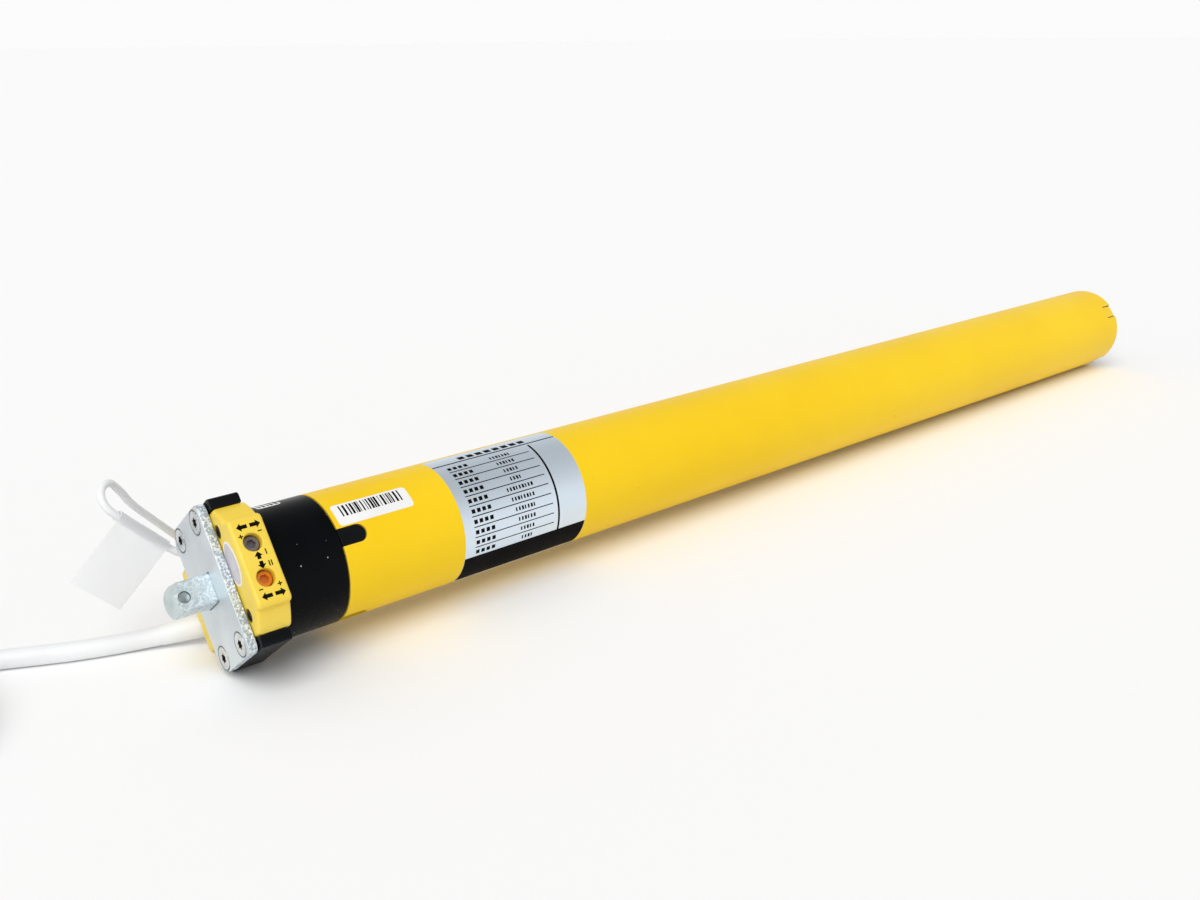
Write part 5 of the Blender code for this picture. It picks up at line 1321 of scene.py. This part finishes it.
def cover_shell(name, face, screw_places):
    """A cover on the +Y side: the outline, its rounded rims, and the room for core, neck and screws."""
    cover_back = -23.4 * mm
    cover = drawn(name, cover_outline(face), cover_front, cover_back)
    edit(cover, "EDGE")
    pick_edges(cover, lambda a, b: abs(a.z - b.z) < 0.01 * mm and max(a.y, b.y) > cover_foot + mm)
    bpy.ops.mesh.bevel(offset=1.2 * mm, segments=5)
    done()
    room = core_half_width + 0.3 * mm
    pocket = block(
        "core_pocket", (-room, 0, core_front - 0.3 * mm), (room, core_height + 0.3 * mm, core_back + 0.3 * mm)
    )
    cut(cover, pocket)
    cut(cover, rod(neck_radius + 0.3 * mm, neck_front - 0.3 * mm, cover_back + mm, sides=96))
    for x, y in screw_places:
        hole = turned(
            "screw_hole",
            [
                (0, cover_front - mm),
                (3.5 * mm, cover_front - mm),
                (2.3 * mm, cover_front + 0.2 * mm),
                (2.3 * mm, cover_front + 1.5 * mm),
                (1.2 * mm, cover_front + 1.5 * mm),
                (1.2 * mm, core_front + mm),
                (0, core_front + mm),
            ],
            steps=48,
        )
        hole.data.transform(Matrix.Translation((x, y, 0)))
        cut(cover, hole)
    return cover


limit_face = 25.6 * mm
adjuster_hole_radius = 3.0 * mm
limit_cover = cover_shell("limit_cover_shell", limit_face, cover_screw_places[:2])
for side in (1, -1):
    place = (side * adjuster_spacing / 2, 0, adjuster_depth)
    hole = turned(
        "adjuster_hole",
        [
            (0, cover_foot - mm),
            (adjuster_hole_radius, cover_foot - mm),
            (adjuster_hole_radius, limit_face - 0.35 * mm),
            (adjuster_hole_radius + 1.35 * mm, limit_face + mm),
            (0, limit_face + mm),
        ],
        steps=64,
    )
    hole.data.transform(Matrix.Translation(place) @ Matrix.Rotation(to_limit_face[0], 4, "X"))
    cut(limit_cover, hole)
yellow_plastic = surface(
    "yellow_plastic",
    colours=((0.89, 0.64, 0.055), (0.93, 0.69, 0.085)),
    patch=18 * mm,
    rough=(0.3, 0.42),
    grain=0.8 * mm,
    relief=0.008 * mm,
    sockets={"Subsurface Weight": 0.08, "Subsurface Radius": (0.003, 0.002, 0.0006)},
)
settle(limit_cover, yellow_plastic, "housing")
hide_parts("limit_cover")


# The marks on the limit cover
# Black signs printed beside the adjusting screws: which way each one turns, and which end of the travel
# it sets. They are the plain signs that any such motor has.
def arrow(start, end, across, along_face=True):
    """A block arrow from start to end, along the tube or, if not along_face, across the plate."""
    way = math.copysign(1, end - start)
    head = end - way * 1.45 * mm
    points = [(start, 0.62), (head, 0.62), (head, 1.35), (end, 0), (head, -1.35), (head, -0.62), (start, -0.62)]
    if along_face:
        outline = [(at, across + side * mm) for at, side in points]
    else:
        outline = [(across + side * mm, at) for at, side in points]
    return drawn("arrow", outline, 0, mark_height)


def bar(middle, along, across):
    """A plain printed bar, given its middle and its two sides."""
    low = (middle[0] - along / 2, middle[1] - across / 2, 0)
    high = (middle[0] + along / 2, middle[1] + across / 2, mark_height)
    return block("bar", low, high)


mark_height = 0.03 * mm
stroke = 0.38 * mm
marks = []
for across in (11.3 * mm, -11.7 * mm):
    marks += [arrow(-29.3 * mm, -32.8 * mm, across), arrow(-28.4 * mm, -24.9 * mm, across)]
marks += [
    arrow(0.1 * mm, 2.6 * mm, -29.1 * mm, along_face=False),
    arrow(-0.6 * mm, -3.1 * mm, -29.1 * mm, along_face=False),
    bar((-26.4 * mm, 1.95 * mm), stroke, 1.8 * mm),
    bar((-26.7 * mm, -1.95 * mm), stroke, 1.8 * mm),
    bar((-25.9 * mm, -1.95 * mm), stroke, 1.8 * mm),
]
for middle in ((-32.3 * mm, 8.4 * mm), (-25.9 * mm, -9.0 * mm)):
    marks += [bar(middle, 1.5 * mm, stroke), bar(middle, stroke, 1.5 * mm)]
for middle in ((-25.9 * mm, 8.85 * mm), (-32.2 * mm, -9.25 * mm)):
    marks.append(bar(middle, 1.3 * mm, stroke))
limit_marks = gather("limit_cover_marks", marks)
face_axes = Matrix(((0, 1, 0), (0, 0, 1), (1, 0, 0))).to_4x4()
settle(limit_marks, black_ink, "housing", place=lying @ Matrix.Translation((0, limit_face, 0)) @ face_axes)


# The oval sticker
# An oval of white film stuck on the limit cover's front end, beside the plate. It is printed in pale
# silver but for a narrow rim, and nothing is written on it.
oval_place = lying @ Matrix.Translation((2.5 * mm, 18.3 * mm, cover_front))
oval_thickness = 0.1 * mm
oval_rim = 0.7 * mm


def oval_sheet(name, half_length, half_width, low, high):
    """A flat oval sheet."""
    round_edge = arc((0, 0), 1.0, 0, 354, steps=59)
    return drawn(name, [(half_length * x, half_width * y) for x, y in round_edge], low, high)


oval = oval_sheet("oval_sticker_film", 7.5 * mm, 4.4 * mm, -oval_thickness, 0)
settle(oval, white_paper, "housing", place=oval_place)
oval_face = oval_sheet(
    "oval_sticker_print",
    7.5 * mm - oval_rim,
    4.4 * mm - oval_rim,
    -oval_thickness - ink_thickness,
    -oval_thickness,
)
silver_ink = surface(
    "silver_ink",
    colours=((0.60, 0.57, 0.60), (0.70, 0.67, 0.70)),
    patch=6 * mm,
    rough=(0.4, 0.55),
    grain=0.4 * mm,
    relief=0.006 * mm,
    metal=0.3,
)
settle(oval_face, silver_ink, "housing", place=oval_place)


# The cable cover
# The same moulding on the other side of the head, with a higher face. The power cord leaves it through
# a slanting collar, and the antenna wire through a small hole in its front end.
cable_face = 29.6 * mm
opposite = Matrix.Rotation(math.pi, 4, "Z")
cable_cover = cover_shell("cable_cover_shell", cable_face, cover_screw_places[:2])
cable_cover.data.transform(opposite)
outlet_on_head = lying.inverted() @ outlet
collar = rod(5.2 * mm, -1.5 * mm, 2.6 * mm, sides=64)
ease_edges(collar, 0.4 * mm)
collar.data.transform(outlet_on_head)
fuse(cable_cover, collar)
outlet_bore = rod(4.4 * mm, -2.0 * mm, gland_reach, sides=64)
outlet_bore.data.transform(outlet_on_head)
cut(cable_cover, outlet_bore)
hole_place = (antenna_hole.x, antenna_hole.y, 0)
cut(cable_cover, rod(1.6 * mm, cover_front - mm, cover_front + 4.3 * mm, place=hole_place, sides=32))
settle(cable_cover, yellow_plastic, "housing")
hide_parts("cable_cover")


# The covers' screws
# Four small blackened self-tapping screws with cross recesses, sunk in the covers' front ends.
small_head_radius = 2.0 * mm
small_top = cover_front + 0.2 * mm
small_under = small_top + 1.0 * mm
small_section = [(0, small_top), (1.5 * mm, small_top), (small_head_radius, small_top + 0.3 * mm)]
small_section += [(small_head_radius, small_under), (0.9 * mm, small_under + 0.1 * mm)]
for i in range(8):
    thread = small_under + 0.4 * mm + i * 0.6 * mm
    small_section += [(0.9 * mm, thread), (0.68 * mm, thread + 0.27 * mm)]
small_section += [(0.65 * mm, small_top + 6.2 * mm), (0, small_top + 6.7 * mm)]
cover_screw = turned("cover_screw_pattern", small_section, steps=40)
ease_edges(cover_screw, 0.06 * mm, sharper_than=55)
for half_x, half_y in ((1.15 * mm, 0.24 * mm), (0.24 * mm, 1.15 * mm)):
    recess = block("cross", (-half_x, -half_y, small_top - mm), (half_x, half_y, small_top + 0.75 * mm))
    cut(cover_screw, recess)
black_steel = surface(
    "black_steel",
    colours=((0.012, 0.012, 0.013), (0.03, 0.03, 0.032)),
    patch=2.5 * mm,
    rough=(0.26, 0.42),
    grain=0.25 * mm,
    relief=0.01 * mm,
    metal=0.7,
    worn=(0.35, 0.35, 0.36),
)
screw_nodes = ["limit_cover_screw_1", "limit_cover_screw_2", "cable_cover_screw_1", "cable_cover_screw_2"]
for i, (node, (x, y)) in enumerate(zip(screw_nodes, cover_screw_places)):
    screw = copy_of(cover_screw, node.replace("screw_", "screw_steel_"))
    turn = Matrix.Rotation(math.radians(12 + 31 * i), 4, "Z")
    settle(screw, black_steel, "housing", place=lying @ Matrix.Translation((x, y, 0)) @ turn)
    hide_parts(node)
bpy.data.objects.remove(cover_screw)


# The adjusting screws
# Two moulded screws with hexagon sockets, one grey and one orange, deep in the limit cover's holes.
# Each turns a worm of the limit switches and so sets one end of the travel.
adjuster = turned(
    "adjuster_pattern",
    [
        (0, 23.4 * mm),
        (2.6 * mm, 23.4 * mm),
        (2.6 * mm, 19.8 * mm),
        (1.2 * mm, 19.8 * mm),
        (1.2 * mm, 10.0 * mm),
        (0, 10.0 * mm),
    ],
    steps=64,
)
ease_edges(adjuster, 0.2 * mm, sharper_than=50)
cut(adjuster, rod(1.6 * mm, 21.8 * mm, 25 * mm, sides=6))
grey_plastic = surface(
    "grey_plastic",
    colours=((0.12, 0.10, 0.115), (0.17, 0.14, 0.16)),
    patch=5 * mm,
    rough=(0.34, 0.5),
    grain=0.5 * mm,
    relief=0.01 * mm,
)
orange_plastic = surface(
    "orange_plastic",
    colours=((0.62, 0.17, 0.008), (0.74, 0.23, 0.014)),
    patch=5 * mm,
    rough=(0.34, 0.5),
    grain=0.5 * mm,
    relief=0.01 * mm,
)
for node, finish, slot, side in (
    ("limit_screw_up", grey_plastic, "grey_plastic", 1),
    ("limit_screw_down", orange_plastic, "orange_plastic", -1),
):
    screw = copy_of(adjuster, f"{node}_head")
    place = Matrix.Translation((side * adjuster_spacing / 2, 0, adjuster_depth))
    settle(screw, finish, node, place=lying @ place @ Matrix.Rotation(to_limit_face[0], 4, "X"))
    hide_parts(node)
bpy.data.objects.remove(adjuster)


# The end cap and its bush
# A die-cast cap closes the tube's far end behind the pressed-in tabs and carries the gearbox.
# A sintered bronze bush in its middle guides the output shaft.
cap_end = tube_length - 1.5 * mm
cap_start = 500 * mm
cap_neck = 515.7 * mm
cap_shelf = 504 * mm
cap_radius = 21.0 * mm
end_cap = turned(
    "end_cap_casting",
    [
        (19.5 * mm, cap_end),
        (19.5 * mm, cap_neck),
        (cap_radius, cap_neck),
        (cap_radius, cap_start),
        (7.0 * mm, cap_start),
        (7.0 * mm, cap_shelf),
        (9.8 * mm, cap_shelf),
        (9.8 * mm, cap_end),
        (12.0 * mm, cap_end),
        (12.4 * mm, cap_end - 0.8 * mm),
        (16.6 * mm, cap_end - 0.8 * mm),
        (17.0 * mm, cap_end),
        (19.5 * mm, cap_end),
    ],
)
ease_edges(end_cap, 0.3 * mm)
cast_alloy = surface(
    "cast_alloy",
    colours=((0.42, 0.42, 0.435), (0.54, 0.54, 0.555)),
    patch=9 * mm,
    rough=(0.36, 0.55),
    grain=0.5 * mm,
    relief=0.05 * mm,
    metal=1.0,
)
settle(end_cap, cast_alloy, "housing")
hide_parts("end_cap")

bush = turned(
    "output_bush_ring",
    [
        (9.5 * mm, cap_end),
        (9.5 * mm, cap_shelf + 0.3 * mm),
        (6.3 * mm, cap_shelf + 0.3 * mm),
        (6.3 * mm, cap_end),
        (9.5 * mm, cap_end),
    ],
)
ease_edges(bush, 0.35 * mm)
sintered_bronze = surface(
    "sintered_bronze",
    colours=((0.50, 0.33, 0.13), (0.66, 0.46, 0.20)),
    patch=4 * mm,
    rough=(0.34, 0.52),
    grain=0.3 * mm,
    relief=0.04 * mm,
    metal=1.0,
)
settle(bush, sintered_bronze, "housing")
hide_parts("output_bush")


# The output carrier
# The last planet carrier of the gearbox, turned from steel in one piece with the output shaft. Two flats
# on the shaft take the drive wheel, and a groove near its end takes a retaining ring.
carrier_start = 495.1 * mm
carrier_end = 499.1 * mm
output_tip = 547 * mm
output_radius = 6.0 * mm
groove_start = 542.8 * mm
groove_end = 544.0 * mm
output = turned(
    "output_carrier_steel",
    [
        (0, carrier_start),
        (16 * mm, carrier_start),
        (16 * mm, carrier_end),
        (output_radius, carrier_end),
        (output_radius, groove_start),
        (output_radius - 0.6 * mm, groove_start),
        (output_radius - 0.6 * mm, groove_end),
        (output_radius, groove_end),
        (output_radius, output_tip - 0.8 * mm),
        (output_radius - 0.8 * mm, output_tip),
        (0, output_tip),
    ],
)
ease_edges(output, 0.15 * mm)
for side in (1, -1):
    low = (-output_radius, min(side * 5, side * 9) * mm, tube_length)
    high = (output_radius, max(side * 5, side * 9) * mm, output_tip + mm)
    cut(output, block("output_flat", low, high))
planet_distance = 11.475 * mm
for i in range(3):
    angle = 2 * math.pi * i / 3
    pin_place = (planet_distance * math.cos(angle), planet_distance * math.sin(angle), 0)
    fuse(output, rod(1.8 * mm, 478.8 * mm, carrier_start + mm, place=pin_place, sides=32))
turned_steel = surface(
    "turned_steel",
    colours=((0.40, 0.40, 0.41), (0.52, 0.52, 0.53)),
    patch=6 * mm,
    rough=(0.2, 0.38),
    grain=0.35 * mm,
    relief=0.012 * mm,
    metal=1.0,
    worn=(0.70, 0.70, 0.71),
)
settle(output, turned_steel, "output")
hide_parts("output_carrier")


# The pieces inside the tube
# The limit switches, the receiver, the capacitor, the motor, the brake and the gears, in the order in
# which they lie along the tube. They keep their built shapes and get the finish of what they are made of.
def give_finish(material, *nodes):
    """Puts a finish on pieces that stay as they were built."""
    for node in nodes:
        built = frame["nodes"][node].data
        built.materials.clear()
        built.materials.append(material)


white_plastic = surface(
    "white_plastic",
    colours=((0.70, 0.70, 0.67), (0.78, 0.78, 0.75)),
    patch=15 * mm,
    rough=(0.36, 0.5),
    grain=0.7 * mm,
    relief=0.01 * mm,
)
board_green = surface(
    "board_green",
    colours=((0.018, 0.14, 0.04), (0.03, 0.22, 0.065)),
    patch=7 * mm,
    rough=(0.25, 0.42),
    grain=0.6 * mm,
    relief=0.02 * mm,
)
laminations = surface(
    "laminations",
    colours=((0.24, 0.24, 0.26), (0.36, 0.36, 0.38)),
    patch=3 * mm,
    rough=(0.3, 0.5),
    grain=0.5 * mm,
    relief=0.05 * mm,
    metal=1.0,
)
lacquered_copper = surface(
    "lacquered_copper",
    colours=((0.50, 0.17, 0.05), (0.72, 0.28, 0.10)),
    patch=2.5 * mm,
    rough=(0.2, 0.36),
    grain=0.7 * mm,
    relief=0.2 * mm,
    metal=0.9,
)
brake_lining = surface(
    "brake_lining",
    colours=((0.07, 0.06, 0.055), (0.13, 0.115, 0.10)),
    patch=3 * mm,
    rough=(0.7, 0.9),
    grain=0.4 * mm,
    relief=0.08 * mm,
)
planets = [f"planet_{stage}_{i}" for stage in (1, 2, 3) for i in (1, 2, 3)]
give_finish(grey_plastic, "limit_switch_unit")
give_finish(white_plastic, "limit_input_gear", "run_capacitor")
give_finish(board_green, "receiver_board")
give_finish(cast_alloy, "motor_front_bell", "motor_rear_bell", "brake_housing")
give_finish(laminations, "stator_core", "rotor_core")
give_finish(lacquered_copper, "winding_front", "winding_rear")
give_finish(brake_lining, "brake_disc")
give_finish(turned_steel, "rotor_shaft", "bearing_front", "bearing_rear", "brake_armature", "brake_spring")
give_finish(turned_steel, "ring_gear", "carrier_1", "carrier_2", *planets)


# The floor and the light
# A plain white floor that keeps the motor's soft shadow, under an even white sky and one broad lamp
# above and to the left of the camera.
floor = start_piece("floor", bpy.ops.mesh.primitive_plane_add, size=60)
floor_paint = bpy.data.materials.new("white_floor")
floor_paint.use_nodes = True
floor_paint.node_tree.nodes["Principled BSDF"].inputs["Base Color"].default_value = (0.96, 0.96, 0.96, 1)
floor_paint.node_tree.nodes["Principled BSDF"].inputs["Roughness"].default_value = 0.9
floor_paint.node_tree.nodes["Principled BSDF"].inputs["Specular IOR Level"].default_value = 0.0
floor.data.materials.append(floor_paint)
floor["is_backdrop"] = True

sky = bpy.data.worlds.new("studio")
bpy.context.scene.world = sky
sky.use_nodes = True
sky_nodes, sky_link = sky.node_tree.nodes, sky.node_tree.links.new
backdrop = sky_nodes["Background"]
backdrop.inputs["Color"].default_value = (1, 1, 1, 1)
rays = sky_nodes.new("ShaderNodeLightPath")
seen = sky_nodes.new("ShaderNodeMath")
seen.operation = "MAXIMUM"
sky_link(rays.outputs["Is Camera Ray"], seen.inputs[0])
sky_link(rays.outputs["Is Transmission Ray"], seen.inputs[1])
level = sky_nodes.new("ShaderNodeMapRange")
level.inputs["To Min"].default_value = 0.55
level.inputs["To Max"].default_value = 0.97
sky_link(seen.outputs["Value"], level.inputs["Value"])
# Glossy surfaces mirror a sky that is white low down and greyer overhead, as in a studio.
height = sky_nodes.new("ShaderNodeSeparateXYZ")
sky_link(sky_nodes.new("ShaderNodeTexCoord").outputs["Generated"], height.inputs["Vector"])
mirrored = sky_nodes.new("ShaderNodeMapRange")
mirrored.inputs["From Min"].default_value = 0.1
mirrored.inputs["From Max"].default_value = 0.9
mirrored.inputs["To Min"].default_value = 0.97
mirrored.inputs["To Max"].default_value = 0.42
sky_link(height.outputs["Z"], mirrored.inputs["Value"])
strength = sky_nodes.new("ShaderNodeMix")
sky_link(rays.outputs["Is Glossy Ray"], strength.inputs["Factor"])
sky_link(level.outputs["Result"], strength.inputs["A"])
sky_link(mirrored.outputs["Result"], strength.inputs["B"])
sky_link(strength.outputs["Result"], backdrop.inputs["Strength"])

bpy.ops.object.select_all(action="DESELECT")
bpy.ops.object.light_add(type="SUN", rotation=(math.radians(34), math.radians(-16), math.radians(-28)))
bpy.context.object.data.energy = 1.75
bpy.context.object.data.angle = math.radians(50)

bpy.context.scene.view_settings.view_transform = "Standard"

low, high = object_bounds()
